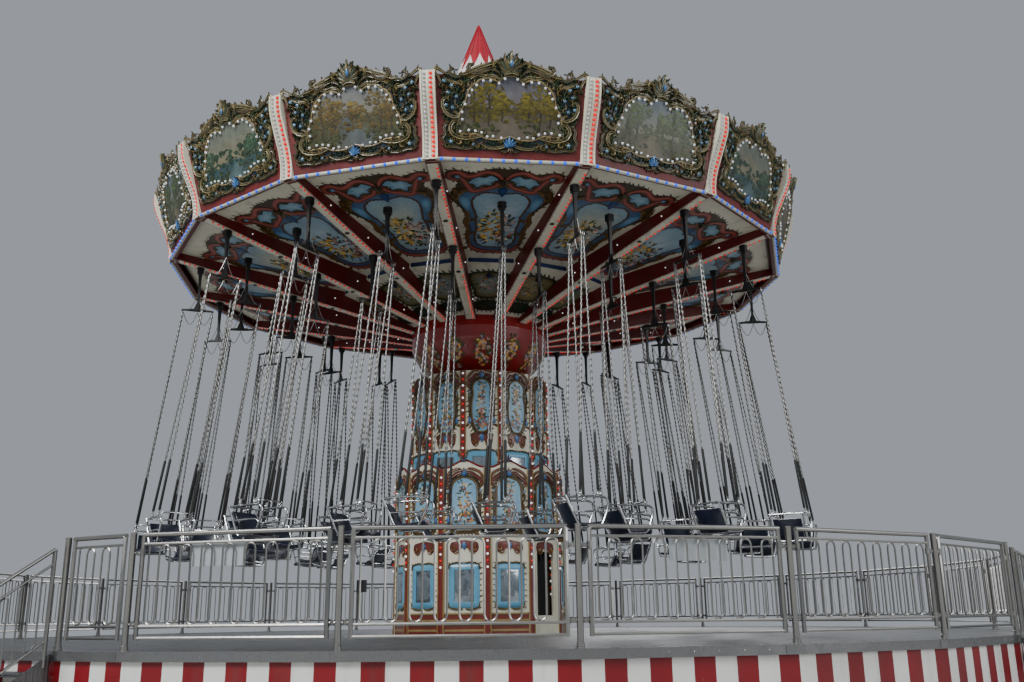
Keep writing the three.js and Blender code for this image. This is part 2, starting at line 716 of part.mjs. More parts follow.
for (let i = 0; i < CROWN_SIDES / 2; i += 1) {
  const mesh = piece(`ceiling_${i + 1}`, ceilingGeometry, ivoryPaint, crown);
  mesh.rotation.z = turnOf(crownBearing(2 * i + 1));
}

export default ride;
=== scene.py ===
"""Dresses the chair swing ride: paint, carving, lamps, chains and chairs round its fixed frame.

Lengths are metres, +Z is up and a bearing is counted in degrees from -Y, the front, towards +X.
A local frame at a bearing has X outwards, Y along the turning and Z up.
"""

import json
import logging
import math
from dataclasses import dataclass, replace
from enum import Enum
from typing import Any, Iterable, Sequence

import bpy
import numpy as np
from mathutils import Matrix

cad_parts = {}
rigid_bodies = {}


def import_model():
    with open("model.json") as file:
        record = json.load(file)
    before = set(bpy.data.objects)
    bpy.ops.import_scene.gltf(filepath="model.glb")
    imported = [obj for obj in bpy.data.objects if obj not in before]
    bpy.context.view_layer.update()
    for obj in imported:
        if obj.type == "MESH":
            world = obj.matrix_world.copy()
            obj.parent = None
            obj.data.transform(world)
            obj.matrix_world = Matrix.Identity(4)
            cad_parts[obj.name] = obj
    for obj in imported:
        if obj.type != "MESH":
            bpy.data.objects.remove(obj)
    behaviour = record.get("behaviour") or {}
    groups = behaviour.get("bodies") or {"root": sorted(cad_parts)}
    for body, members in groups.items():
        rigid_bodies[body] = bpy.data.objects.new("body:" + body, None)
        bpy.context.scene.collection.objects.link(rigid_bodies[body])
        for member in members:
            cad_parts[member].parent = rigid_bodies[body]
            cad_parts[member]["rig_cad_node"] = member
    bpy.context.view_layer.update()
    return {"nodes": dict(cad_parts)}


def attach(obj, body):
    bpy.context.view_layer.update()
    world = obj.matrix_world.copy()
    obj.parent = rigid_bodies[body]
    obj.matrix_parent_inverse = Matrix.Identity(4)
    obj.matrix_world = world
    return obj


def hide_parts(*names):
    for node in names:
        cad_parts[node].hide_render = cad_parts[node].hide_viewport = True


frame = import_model()

LOG = logging.getLogger("chair_swing_ride")

SIDES = 16  # of the crown
CROWN_STEP = 360 / SIDES
CROWN_BEARING = -4.88
CROWN_RADIUS = 5.1
HALF_SIDE = math.radians(CROWN_STEP / 2)  # half the angle of a crown side
HALF_BAY = math.radians(7.5)  # half the angle of a deck bay
HALF_PANEL = math.radians(15)  # half the angle of a housing panel
WHITE = (1, 1, 1)
OUTWARDS, ALONG, UP = (1, 0, 0), (0, 1, 0), (0, 0, 1)  # in a local frame
STOOD_UP = np.array([[1, 0, 0], [0, 0, -1], [0, 1, 0]], float)  # turns a flat slab's V upwards
DECK_TOP = 0.9
BAY_BEARINGS = CROWN_BEARING + CROWN_STEP * (np.arange(SIDES) + 0.5)
CORNER_BEARINGS = CROWN_BEARING + CROWN_STEP * np.arange(SIDES)


class Body(Enum):
    """The bodies of the frame that pieces ride on."""

    BASE = "base"
    COLUMN = "column"
    CROWN = "crown"


def linear(code: str) -> tuple[float, float, float]:
    """Turns a display colour into linear light.

    Args:
        code: Six hexadecimal digits.

    Returns:
        Red, green and blue, each to the power 2.2.
    """
    return tuple((int(code[i : i + 2], 16) / 255) ** 2.2 for i in (0, 2, 4))


# Surfaces


@dataclass
class Surface:
    """A surface worked out as arrays.

    Each point has a tint of red, green, blue and shade; shade 1 is fully lit and 0 a deep hollow.
    """

    points: np.ndarray
    quads: np.ndarray
    tris: np.ndarray
    tints: np.ndarray

    def moved(self, turn: np.ndarray, place: Sequence[float] = (0, 0, 0)) -> "Surface":
        """Gives the surface with each point multiplied by a matrix and shifted.

        Args:
            turn: Three by three matrix whose columns are the new axes.
            place: The new origin.

        Returns:
            The moved surface.
        """
        return replace(self, points=self.points @ np.asarray(turn, float).T + np.asarray(place, float))

    def shifted(self, *place: float) -> "Surface":
        """Gives the surface shifted by three lengths."""
        return replace(self, points=self.points + np.asarray(place, float))

    def mirrored(self) -> "Surface":
        """Gives the surface with its first coordinate's sign changed and its faces turned back."""
        flipped = self.points * np.array([-1.0, 1.0, 1.0])
        return Surface(flipped, self.quads[:, ::-1], self.tris[:, ::-1], self.tints)

    def both(self) -> "Surface":
        """Gives the surface together with its mirror image."""
        return join([self, self.mirrored()])

    def tinted(self, colour: Sequence[float], shade: float = 1.0) -> "Surface":
        """Gives the surface in one tint."""
        return replace(self, tints=flat_tints(colour, len(self.points), shade))


def flat_tints(colour: Sequence[float], count: int, shade: float = 1.0) -> np.ndarray:
    """Gives one tint repeated for a number of points."""
    return np.tile(np.array([*colour, shade], float), (count, 1))


def join(surfaces: Iterable[Surface]) -> Surface:
    """Puts surfaces into one, with the later ones' corner numbers raised.

    Args:
        surfaces: The surfaces.

    Returns:
        One surface with all of their points and faces.
    """
    parts = list(surfaces)
    starts = np.concatenate([[0], np.cumsum([len(p.points) for p in parts])]).astype(int)
    return Surface(
        np.concatenate([p.points for p in parts]),
        np.concatenate([p.quads + s for p, s in zip(parts, starts)]).astype(int),
        np.concatenate([p.tris + s for p, s in zip(parts, starts)]).astype(int),
        np.concatenate([p.tints for p in parts]),
    )


def copies(
    shape: Surface, turns: np.ndarray, places: np.ndarray, colours: np.ndarray | None = None
) -> Surface:
    """Repeats a surface: copy k has points turns[k] times point plus places[k].

    Args:
        shape: The surface to repeat.
        turns: One matrix a copy, (k, 3, 3).
        places: One origin a copy, (k, 3).
        colours: One colour a copy to multiply the tints by, (k, 3).

    Returns:
        All copies as one surface.
    """
    count, size = len(turns), len(shape.points)
    points = np.einsum("kij,nj->kni", turns, shape.points) + np.asarray(places)[:, None, :]
    steps = (np.arange(count) * size)[:, None, None]
    tints = np.tile(shape.tints, (count, 1, 1))
    if colours is not None:
        tints[:, :, :3] *= np.asarray(colours)[:, None, :]
    return Surface(
        points.reshape(-1, 3),
        (shape.quads[None] + steps).reshape(-1, 4),
        (shape.tris[None] + steps).reshape(-1, 3),
        tints.reshape(-1, 4),
    )


def bearing_turns(bearings: Sequence[float] | np.ndarray) -> np.ndarray:
    """Gives the local frames at bearings: outwards (sin b, -cos b), along the turning (cos b, sin b).

    Args:
        bearings: Degrees.

    Returns:
        One matrix a bearing whose columns are outwards, along and up.
    """
    b = np.radians(np.atleast_1d(np.asarray(bearings, float)))
    turns = np.zeros((len(b), 3, 3))
    turns[:, 0, 0], turns[:, 1, 0] = np.sin(b), -np.cos(b)
    turns[:, 0, 1], turns[:, 1, 1] = np.cos(b), np.sin(b)
    turns[:, 2, 2] = 1
    return turns


def around(shape: Surface, bearings: Sequence[float] | np.ndarray) -> Surface:
    """Repeats a surface of the local frame at each bearing."""
    turns = bearing_turns(bearings)
    return copies(shape, turns, np.zeros((len(turns), 3)))


def grid(
    points: np.ndarray,
    tints: np.ndarray,
    wrap_rows: bool = False,
    wrap_columns: bool = False,
) -> Surface:
    """Joins a table of points into four-cornered faces.

    A face looks along the column direction crossed with the row direction.

    Args:
        points: (rows, columns, 3).
        tints: (rows, columns, 4).
        wrap_rows: Whether the last row joins the first.
        wrap_columns: Whether the last column joins the first.

    Returns:
        The surface.
    """
    rows, columns = points.shape[:2]
    index = np.arange(rows * columns).reshape(rows, columns)
    if wrap_rows:
        index = np.vstack([index, index[:1]])
    if wrap_columns:
        index = np.hstack([index, index[:, :1]])
    quads = np.stack([index[:-1, :-1], index[:-1, 1:], index[1:, 1:], index[1:, :-1]], axis=-1)
    return Surface(points.reshape(-1, 3), quads.reshape(-1, 4), np.zeros((0, 3), int), tints.reshape(-1, 4))


def unit(vectors: np.ndarray) -> np.ndarray:
    """Gives vectors divided by their lengths."""
    return vectors / np.maximum(np.linalg.norm(vectors, axis=-1, keepdims=True), 1e-12)


def directions(path: np.ndarray, closed: bool = False) -> np.ndarray:
    """Gives a path's directions: the unit differences of each point's two neighbours."""
    if closed:
        return unit(np.roll(path, -1, axis=0) - np.roll(path, 1, axis=0))
    return unit(np.gradient(path, axis=0))


def fan_caps(surface: Surface, rings: tuple[np.ndarray, np.ndarray]) -> Surface:
    """Closes a tube with a centre point at each end joined to the end's ring.

    Args:
        surface: The open tube.
        rings: Corner numbers of the first and last ring, in turning order.

    Returns:
        The closed tube.
    """
    count = len(surface.points)
    centres = np.array([surface.points[ring].mean(axis=0) for ring in rings])
    shades = np.array([surface.tints[ring].mean(axis=0) for ring in rings])
    tris = []
    for number, ring in enumerate(rings):
        ahead = np.roll(ring, -1)
        middle = np.full(len(ring), count + number)
        order = (middle, ring, ahead) if number else (middle, ahead, ring)
        tris.append(np.stack(order, axis=-1))
    return Surface(
        np.vstack([surface.points, centres]),
        surface.quads,
        np.vstack([surface.tris, *tris]),
        np.vstack([surface.tints, shades]),
    )


def tube(
    path: np.ndarray,
    radius: float | np.ndarray,
    sides: int = 6,
    colour: Sequence[float] = WHITE,
    across: Sequence[float] = UP,
    closed: bool = False,
    squeeze: float = 1.0,
) -> Surface:
    """Carries a round section along a path: centre plus radius times (cos a N + squeeze sin a B).

    N is the part of the across direction that is square to the path, and B the path's direction
    crossed with N.

    Args:
        path: (n, 3).
        radius: One radius, or one a point.
        sides: Corners of the section.
        colour: The tint.
        across: A direction that the path never runs along.
        closed: Whether the path returns to its start.
        squeeze: The section's second width over its first.

    Returns:
        The tube, with its ends closed.
    """
    path = np.asarray(path, float)
    ahead = directions(path, closed)
    across = np.asarray(across, float)
    normal = unit(across - (ahead @ across)[:, None] * ahead)
    side = np.cross(ahead, normal)
    turn = np.arange(sides) * 2 * np.pi / sides
    width = np.broadcast_to(np.asarray(radius, float), (len(path),))[:, None, None]
    first = np.cos(turn)[None, :, None] * normal[:, None]
    second = squeeze * np.sin(turn)[None, :, None] * side[:, None]
    points = path[:, None] + width * (first + second)
    surface = grid(points, np.broadcast_to([*colour, 1.0], (*points.shape[:2], 4)), closed, True)
    if closed:
        return surface
    ring = np.arange(sides)
    return fan_caps(surface, (ring, ring + (len(path) - 1) * sides))


def turned_shape(
    profile: np.ndarray, sides: int, colour: Sequence[float] = WHITE, start: float = 0.0
) -> Surface:
    """Turns a profile of radius and height round the upright axis.

    Args:
        profile: (n, 2), from the foot to the top on the outside.
        sides: Corners round the axis.
        colour: The tint.
        start: Bearing of the first corner, in degrees.

    Returns:
        The surface, with its ends closed.
    """
    turn = np.radians(start) + np.arange(sides) * 2 * np.pi / sides
    ring = np.stack([np.sin(turn), -np.cos(turn), np.zeros(sides)], axis=-1)
    points = profile[:, 0, None, None] * ring[None] + profile[:, 1, None, None] * np.array([0, 0, 1.0])
    surface = grid(points, np.broadcast_to([*colour, 1.0], (*points.shape[:2], 4)), False, True)
    corner = np.arange(sides)
    return fan_caps(surface, (corner, corner + (len(profile) - 1) * sides))


def slab(outline: np.ndarray, depth: float, colour: Sequence[float] = WHITE) -> Surface:
    """Gives a flat outline a depth: two faces made as fans from its middle, and a rim.

    Args:
        outline: (n, 2), counter-clockwise and star-shaped about its middle.
        depth: Height of the far face.
        colour: The tint.

    Returns:
        The closed slab.
    """
    levels = np.array([0.0, depth])
    flat = np.broadcast_to(outline, (2, *outline.shape))
    points = np.concatenate([flat, np.broadcast_to(levels[:, None, None], (*flat.shape[:2], 1))], axis=-1)
    surface = grid(points, np.broadcast_to([*colour, 1.0], (*points.shape[:2], 4)), False, True)
    ring = np.arange(len(outline))
    return fan_caps(surface, (ring, ring + len(outline)))


def block(
    low: Sequence[float], high: Sequence[float], colour: Sequence[float] = WHITE, bevel: float = 0.004
) -> Surface:
    """Gives a box with its upright edges cut by a bevel.

    Args:
        low: Lowest corner.
        high: Highest corner.
        colour: The tint.
        bevel: Width of the cut.

    Returns:
        The closed box.
    """
    (x0, y0, z0), (x1, y1, z1) = low, high
    b = bevel
    outline = np.array(
        [
            (x0 + b, y0), (x1 - b, y0), (x1, y0 + b), (x1, y1 - b), (x1 - b, y1), (x0 + b, y1),
            (x0, y1 - b), (x0, y0 + b)
        ]
    )
    return slab(outline, z1 - z0, colour).shifted(0, 0, z0)


# Ornament, drawn in a flat frame: U to the right, V up and H out of the panel


def smooth(points: Sequence[Sequence[float]], count: int, closed: bool = True) -> np.ndarray:
    """Runs a smooth curve through points, by a cubic from each point to the next.

    Its slope at a point is half of the difference between the point's two neighbours.

    Args:
        points: The points, (n, 2) or (n, 3).
        count: How many points the curve is given with.
        closed: Whether it returns to the start.

    Returns:
        (count, 2) or (count, 3).
    """
    given = np.asarray(points, float)
    if closed:
        ring = np.vstack([given[-1:], given, given[:2]])
        spans = len(given)
    else:
        ring = np.vstack([2 * given[:1] - given[1:2], given, 2 * given[-1:] - given[-2:-1]])
        spans = len(given) - 1
    place = np.linspace(0, spans, count, endpoint=not closed)
    span = np.minimum(place.astype(int), spans - 1)
    t = (place - span)[:, None]
    a, b, c, d = (ring[span + k] for k in range(4))
    return 0.5 * (2 * b + (c - a) * t + (2 * a - 5 * b + 4 * c - d) * t**2 + (3 * b - a - 3 * c + d) * t**3)


def halves(points: Sequence[Sequence[float]], count: int) -> np.ndarray:
    """Gives a smooth closed outline from its right half, listed from the foot to the top.

    Args:
        points: The half's points; the first and last are on the middle line.
        count: How many points the outline is given with.

    Returns:
        (count, 2), counter-clockwise.
    """
    right = np.asarray(points, float)
    left = right[-2:0:-1] * np.array([-1, 1])
    return smooth(np.vstack([right, left]), count)


def ribbon(
    path: np.ndarray,
    width: float | np.ndarray,
    crown: float,
    edge: Sequence[float],
    middle: Sequence[float],
    lift: float = 0.0,
    closed: bool = False,
) -> Surface:
    """Lays a band along a flat line; its section rises from both edges to a crown.

    Args:
        path: (n, 2).
        width: Half width, or one a point.
        crown: Height of the middle over the edges.
        edge: Colour at the edges.
        middle: Colour at the crown.
        lift: Height of the edges.
        closed: Whether the line returns to its start.

    Returns:
        The band.
    """
    ahead = directions(path, closed)
    left = np.stack([-ahead[:, 1], ahead[:, 0]], axis=-1)
    half = np.broadcast_to(np.asarray(width, float), (len(path),))[:, None]
    flat = np.stack([path + half * left, path, path - half * left], axis=1)
    heights = np.broadcast_to(np.array([lift, lift + crown, lift])[None, :, None], (len(path), 3, 1))
    # The edges take a shade of 0.35, which the tinted finishes turn into painted shade on the band's sides.
    colours = np.array([[*edge, 0.35], [*middle, 1.0], [*edge, 0.35]])
    tints = np.broadcast_to(colours[None], (len(path), 3, 4))
    return grid(np.concatenate([flat, heights], axis=-1), tints, closed)


def taper(count: int, width: float, ends: float = 0.3, bulge: float = 0.7) -> np.ndarray:
    """Gives half widths that swell from the ends to the middle: width (ends + (1 - ends) sin(pi s)^bulge)."""
    s = np.linspace(0, 1, count)
    return width * (ends + (1 - ends) * np.abs(np.sin(np.pi * s)) ** bulge)


def with_middle(surface: Surface, count: int, rise: float = 0.0) -> Surface:
    """Closes a filled outline: joins its last ring of points to their mean, raised by a height."""
    ring = np.arange(len(surface.points) - count, len(surface.points))
    middle = surface.points[ring].mean(axis=0) + (0, 0, rise)
    tris = np.stack([np.full(count, len(surface.points)), ring, np.roll(ring, -1)], axis=-1)
    tints = np.vstack([surface.tints, surface.tints[ring].mean(axis=0)])
    return Surface(np.vstack([surface.points, middle]), surface.quads, np.vstack([surface.tris, tris]), tints)


def painted_field(
    outline: np.ndarray, edge: Sequence[float], middle: Sequence[float], lift: float = 0.0, dome: float = 0.0
) -> Surface:
    """Fills an outline with rings that shrink towards its middle and change from one colour to another.

    Args:
        outline: (n, 2), counter-clockwise and star-shaped about its middle.
        edge: Colour at the outline.
        middle: Colour at the middle.
        lift: Height of the outline.
        dome: How much higher the middle is.

    Returns:
        The filled surface.
    """
    centre = outline.mean(axis=0)
    shares = np.array([1.0, 0.66, 0.33])
    flat = centre + shares[:, None, None] * (outline - centre)
    heights = np.broadcast_to((lift + dome * (1 - shares**2))[:, None, None], (*flat.shape[:2], 1))
    colours = shares[:, None] * np.array(edge) + (1 - shares[:, None]) * np.array(middle)
    tints = np.concatenate([colours, np.ones((3, 1))], axis=-1)
    tints = np.broadcast_to(tints[:, None], (*flat.shape[:2], 4))
    surface = grid(np.concatenate([flat, heights], axis=-1), tints, False, True)
    return with_middle(surface, len(outline), 0.11 * dome)


def flat_turns(angles: np.ndarray, sizes: np.ndarray, stretch: np.ndarray | float = 1.0) -> np.ndarray:
    """Gives matrices that scale a flat shape and turn it in its own plane.

    Args:
        angles: Radians.
        sizes: Scale of U and H.
        stretch: Scale of V over that of U.

    Returns:
        (k, 3, 3).
    """
    turns = np.zeros((len(angles), 3, 3))
    c, s = np.cos(angles), np.sin(angles)
    wide, tall = sizes, sizes * stretch
    turns[:, 0, 0], turns[:, 1, 0] = c * wide, s * wide
    turns[:, 0, 1], turns[:, 1, 1] = -s * tall, c * tall
    turns[:, 2, 2] = sizes
    return turns


def leaf(lobes: int = 3, crown: float = 0.12, steps: int = 8) -> Surface:
    """Gives a leaf of unit length along U, white, to be scaled and tinted.

    Its half width is 0.3 sin(pi s^0.8) times (1 - 0.35 |sin(lobes pi s)|).

    Args:
        lobes: Number of notches along an edge.
        crown: Height of the rib.
        steps: Points along it.

    Returns:
        The leaf.
    """
    s = np.linspace(0.02, 0.98, steps)
    half = 0.3 * np.sin(np.pi * s**0.8) * (1 - 0.35 * np.abs(np.sin(lobes * np.pi * s)))
    path = np.stack([s, 0.12 * np.sin(np.pi * s)], axis=-1)
    # Its edges are 0.45 of the rib's tone: painted shade on the leaf's sides.
    return ribbon(path, half, crown, (0.45, 0.45, 0.45), WHITE)


def fringe(
    path: np.ndarray, count: int, size: float, colour: Sequence[float], lean: float = 0.9,
    closed: bool = True, lift: float = 0.0, crown: float = 0.05
) -> Surface:
    """Sets leaves along a line, each leaning outwards from it.

    Args:
        path: (n, 2), counter-clockwise for leaves outside.
        count: Number of leaves.
        size: Length of a leaf.
        colour: Their colour.
        lean: Angle from the line, in radians.
        closed: Whether the line returns to its start.
        lift: Height over the panel.
        crown: Height of a leaf's rib over its length.

    Returns:
        The leaves.
    """
    ahead = directions(path, closed)
    picks = np.linspace(0, len(path) - (0 if closed else 1), count, endpoint=not closed)
    low = picks.astype(int) % len(path)
    share = (picks - picks.astype(int))[:, None]
    high = (low + 1) % len(path)
    spots = path[low] * (1 - share) + path[high] * share
    heading = np.arctan2(ahead[low, 1], ahead[low, 0]) - lean
    sizes = size * (0.8 + 0.35 * np.sin(np.arange(count) * 2.4) ** 2)
    places = np.column_stack([spots, np.full(count, lift)])
    shape = leaf(2, crown, 4)
    return copies(shape, flat_turns(heading, sizes), places, np.tile(colour, (count, 1)))


def flower(petals: int = 5, crown: float = 0.25) -> Surface:
    """Gives a flower of unit radius with a pale heart, to be scaled and tinted.

    Its outline is 0.72 + 0.28 cos(petals a), and it rises to a ring round the heart.

    Args:
        petals: Number of petals.
        crown: Height of the ring.

    Returns:
        The flower.
    """
    turn = np.arange(petals * 2) * np.pi / petals
    outline = 0.72 + 0.28 * np.cos(petals * turn)
    radii = np.stack([outline, np.full(len(turn), 0.42)])
    heights = np.broadcast_to(np.array([0, crown])[:, None], radii.shape)
    points = np.stack([radii * np.cos(turn), radii * np.sin(turn), heights], axis=-1)
    # The outline takes a painted shade of 0.8 and is painted darker, on the petals' tips; the raised ring
    # round the heart is painted paler.
    tones = np.array([[0.75, 0.75, 0.75, 0.8], [1.3, 1.25, 1.15, 1]])
    surface = grid(points, np.broadcast_to(tones[:, None], (*radii.shape, 4)), False, True)
    closed = with_middle(surface, len(turn), -0.3 * crown)
    closed.tints[-1] = (1.5, 1.1, 0.3, 1)
    return closed


def bloom() -> Surface:
    """Gives a flat painted flower of unit radius: ten points at 0.72 + 0.28 cos(5 a), yellow heart."""
    turn = np.arange(10) * np.pi / 5
    reach = 0.72 + 0.28 * np.cos(5 * turn)
    ring = Surface(
        np.stack([reach * np.cos(turn), reach * np.sin(turn), np.zeros(10)], axis=-1),
        np.zeros((0, 4), int),
        np.zeros((0, 3), int),
        flat_tints(WHITE, 10),
    )
    closed = with_middle(ring, 10, 0.03)
    closed.tints[-1] = (1.3, 1.0, 0.5, 1)
    return closed


def dab(sides: int = 6) -> Surface:
    """Gives a flat brush stroke of unit radius, to be scaled and tinted."""
    turn = np.arange(sides) * 2 * np.pi / sides
    ring = np.stack([np.cos(turn), np.sin(turn), np.zeros(sides)], axis=-1)
    index = np.arange(sides)
    tris = np.stack([np.full(sides, sides), index, np.roll(index, -1)], axis=-1)
    points = np.vstack([ring, [[0, 0, 0.02]]])
    return Surface(points, np.zeros((0, 4), int), tris, flat_tints(WHITE, sides + 1))


def scattered(
    shape: Surface,
    spots: np.ndarray,
    sizes: np.ndarray,
    colours: np.ndarray,
    lift: float,
    spin: np.ndarray | None = None,
    stretch: np.ndarray | float = 1.0,
) -> Surface:
    """Repeats a flat shape at spots with its own size, turn and colour at each.

    Args:
        shape: The shape.
        spots: (k, 2).
        sizes: (k,).
        colours: (k, 3).
        lift: Height over the panel.
        spin: Turns in radians.
        stretch: Scale of V over that of U.

    Returns:
        All copies as one surface.
    """
    count = len(spots)
    turns = flat_turns(np.zeros(count) if spin is None else spin, np.asarray(sizes, float), stretch)
    lifts = lift + 0.0003 * (np.arange(count) % 5)
    return copies(shape, turns, np.column_stack([spots, lifts]), colours)


def bead(radius: float, height: float, colour: Sequence[float] = WHITE, sides: int = 6) -> Surface:
    """Gives a dome: its foot, a ring at 0.75 of its radius and 0.66 of its height, and its top.

    Args:
        radius: Radius of its foot.
        height: Its height.
        colour: The tint.
        sides: Corners round it.

    Returns:
        The dome, open at its foot.
    """
    turn = np.arange(sides) * 2 * np.pi / sides
    shares = np.array([[1.0, 0.0], [0.75, 0.66]])
    points = np.stack(
        [
            radius * shares[:, :1] * np.cos(turn),
            radius * shares[:, :1] * np.sin(turn),
            np.broadcast_to(height * shares[:, 1:], (2, sides)),
        ],
        axis=-1,
    )
    surface = grid(points, np.broadcast_to([*colour, 1.0], (2, sides, 4)), False, True)
    ring = np.arange(sides) + sides
    tris = np.stack([np.full(sides, 2 * sides), ring, np.roll(ring, -1)], axis=-1)
    points = np.vstack([surface.points, [[0, 0, height]]])
    return Surface(points, surface.quads, tris, flat_tints(colour, 2 * sides + 1))


# Frames that take a flat drawing to its panel


def panel_place(apothem: float, foot: float, lean: float = 0.0) -> tuple[np.ndarray, np.ndarray]:
    """Gives the frame of an upright panel that looks outwards.

    Args:
        apothem: The panel's distance from the axis at its foot.
        foot: Height of V zero.
        lean: Angle that its top leans outwards by, in radians.

    Returns:
        The matrix with columns U, V and H in the local frame, and the origin.
    """
    c, s = math.cos(lean), math.sin(lean)
    turn = np.array([[0, s, c], [1, 0, 0], [0, c, -s]], float)
    return turn, np.array([apothem, 0, foot])


def ceiling_place(foot: float, slope: float) -> tuple[np.ndarray, np.ndarray]:
    """Gives the frame of a ceiling panel that looks down, with V the distance from the axis.

    Args:
        foot: Height of the panel at the axis.
        slope: Its rise over its run.

    Returns:
        The matrix with columns U, V and H in the local frame, and the origin.
    """
    c = 1 / math.hypot(1, slope)
    turn = np.array([[0, 1, slope * c], [1, 0, 0], [0, slope, -c]], float)
    return turn, np.array([0, 0, foot])


# Materials


class Graph:
    """A node tree with short words for its nodes, sums and links."""

    def __init__(self, tree: bpy.types.NodeTree) -> None:
        """Keeps the tree."""
        self.tree = tree

    def node(self, kind: str, inputs: dict[str, Any] | None = None, **settings: Any) -> bpy.types.Node:
        """Adds a node.

        Args:
            kind: Blender's name of the node type, without ShaderNode.
            inputs: Values or sockets by the name or number of an input.
            settings: Properties of the node.

        Returns:
            The node.
        """
        made = self.tree.nodes.new("ShaderNode" + kind)
        for key, value in settings.items():
            setattr(made, key, value)
        for key, value in (inputs or {}).items():
            self.feed(made.inputs[key], value)
        return made

    def feed(self, socket: bpy.types.NodeSocket, value: Any) -> None:
        """Links a socket or sets a value."""
        if isinstance(value, bpy.types.NodeSocket):
            self.tree.links.new(value, socket)
        else:
            socket.default_value = value

    def sum(self, operation: str, *values: Any, clamp: bool = False) -> bpy.types.NodeSocket:
        """Works out a sum of one, two or three values."""
        made = self.node("Math", operation=operation, use_clamp=clamp)
        for number, value in enumerate(values):
            self.feed(made.inputs[number], value)
        return made.outputs[0]

    def mix(self, share: Any, first: Any, second: Any, way: str = "MIX") -> bpy.types.NodeSocket:
        """Mixes two colours by a share."""
        made = self.node("Mix", data_type="RGBA", blend_type=way)
        self.feed(made.inputs[0], share)
        self.feed(made.inputs[6], first)
        self.feed(made.inputs[7], second)
        return made.outputs[2]

    def ramp(self, value: Any, low: float, high: float) -> bpy.types.NodeSocket:
        """Runs a value from 0 at low to 1 at high, smoothly."""
        made = self.node("MapRange", interpolation_type="SMOOTHSTEP")
        self.feed(made.inputs["Value"], value)
        made.inputs["From Min"].default_value = low
        made.inputs["From Max"].default_value = high
        return made.outputs[0]

    def noise(
        self, place: Any, scale: Any, detail: float = 3.0, stretch: tuple = (1, 1, 1)
    ) -> bpy.types.NodeSocket:
        """Gives smooth noise at a place, stretched by three factors."""
        mapped = self.node("Mapping", {"Vector": place, "Scale": stretch}).outputs[0]
        return self.node("TexNoise", {"Vector": mapped, "Scale": scale, "Detail": detail}).outputs["Fac"]


def make_group(
    name: str, inputs: dict[str, Any], outputs: dict[str, str]
) -> tuple[bpy.types.NodeTree, Graph, Any, Any]:
    """Starts a shader node group.

    Args:
        name: The group's name.
        inputs: First values by name; a tuple makes a colour input and a number a plain one.
        outputs: Socket types by name.

    Returns:
        The group, its graph, and the nodes of its inputs and outputs.
    """
    tree = bpy.data.node_groups.new(name, "ShaderNodeTree")
    for key, value in inputs.items():
        kind = "NodeSocketColor" if isinstance(value, tuple) else "NodeSocketFloat"
        made = tree.interface.new_socket(name=key, in_out="INPUT", socket_type=kind)
        made.default_value = value
    for key, kind in outputs.items():
        tree.interface.new_socket(name=key, in_out="OUTPUT", socket_type=kind)
    graph = Graph(tree)
    source = tree.nodes.new("NodeGroupInput")
    target = tree.nodes.new("NodeGroupOutput")
    return tree, graph, source, target


def weathered_group() -> bpy.types.NodeTree:
    """Builds the group for weathered paint.

    The colour fades in broad clouds, is soiled in streaks that run down, has dust where it looks
    up and small chips; the height is fine orange peel.

    Returns:
        The group, with outputs Colour, Roughness and Height.
    """
    tree, g, given, out = make_group(
        "weathered_paint",
        {
            "Colour": (0.8, 0.8, 0.8, 1.0), "Roughness": 0.45, "Scale": 1.0, "Fade": 0.4, "Grime": 0.3,
            "Dust": 0.3
        },
        {"Colour": "NodeSocketColor", "Roughness": "NodeSocketFloat", "Height": "NodeSocketFloat"},
    )
    place = g.node("TexCoord").outputs["Object"]
    scale = given.outputs["Scale"]
    clouds = g.noise(place, g.sum("MULTIPLY", scale, 1.7), 4)
    peel = g.noise(place, g.sum("MULTIPLY", scale, 60), 2)
    streaks = g.ramp(g.noise(place, g.sum("MULTIPLY", scale, 5), 4, (1, 1, 0.12)), 0.5, 0.78)
    chips = g.ramp(g.noise(place, g.sum("MULTIPLY", scale, 38), 5), 0.69, 0.72)
    upward = g.node("SeparateXYZ", {0: g.node("NewGeometry").outputs["Normal"]}).outputs[2]
    lying = g.ramp(g.sum("MULTIPLY_ADD", clouds, 0.5, upward), 0.9, 1.5)
    faded = g.mix(
        g.sum("MULTIPLY", g.ramp(clouds, 0.3, 0.75), given.outputs["Fade"]), given.outputs["Colour"],
        (0.62, 0.6, 0.56, 1), "SOFT_LIGHT"
    )
    deeper = g.mix(
        g.sum("MULTIPLY", g.ramp(clouds, 0.7, 0.3), given.outputs["Fade"]), faded, (0.25, 0.24, 0.23, 1),
        "SOFT_LIGHT"
    )
    soiled = g.mix(g.sum("MULTIPLY", streaks, given.outputs["Grime"]), deeper, (0.055, 0.045, 0.035, 1))
    chipped = g.mix(
        g.sum("MULTIPLY", chips, g.sum("MULTIPLY", given.outputs["Grime"], 0.8)), soiled,
        (0.16, 0.13, 0.11, 1)
    )
    dusty = g.mix(g.sum("MULTIPLY", lying, given.outputs["Dust"]), chipped, (0.36, 0.33, 0.28, 1))
    rough = g.sum("MULTIPLY_ADD", clouds, 0.2, g.sum("SUBTRACT", given.outputs["Roughness"], 0.1))
    rough = g.sum("MULTIPLY_ADD", lying, 0.25, g.sum("MULTIPLY_ADD", streaks, 0.15, rough), clamp=True)
    g.feed(out.inputs["Colour"], dusty)
    g.feed(out.inputs["Roughness"], rough)
    g.feed(out.inputs["Height"], g.sum("MULTIPLY_ADD", chips, -0.6, peel))
    return tree


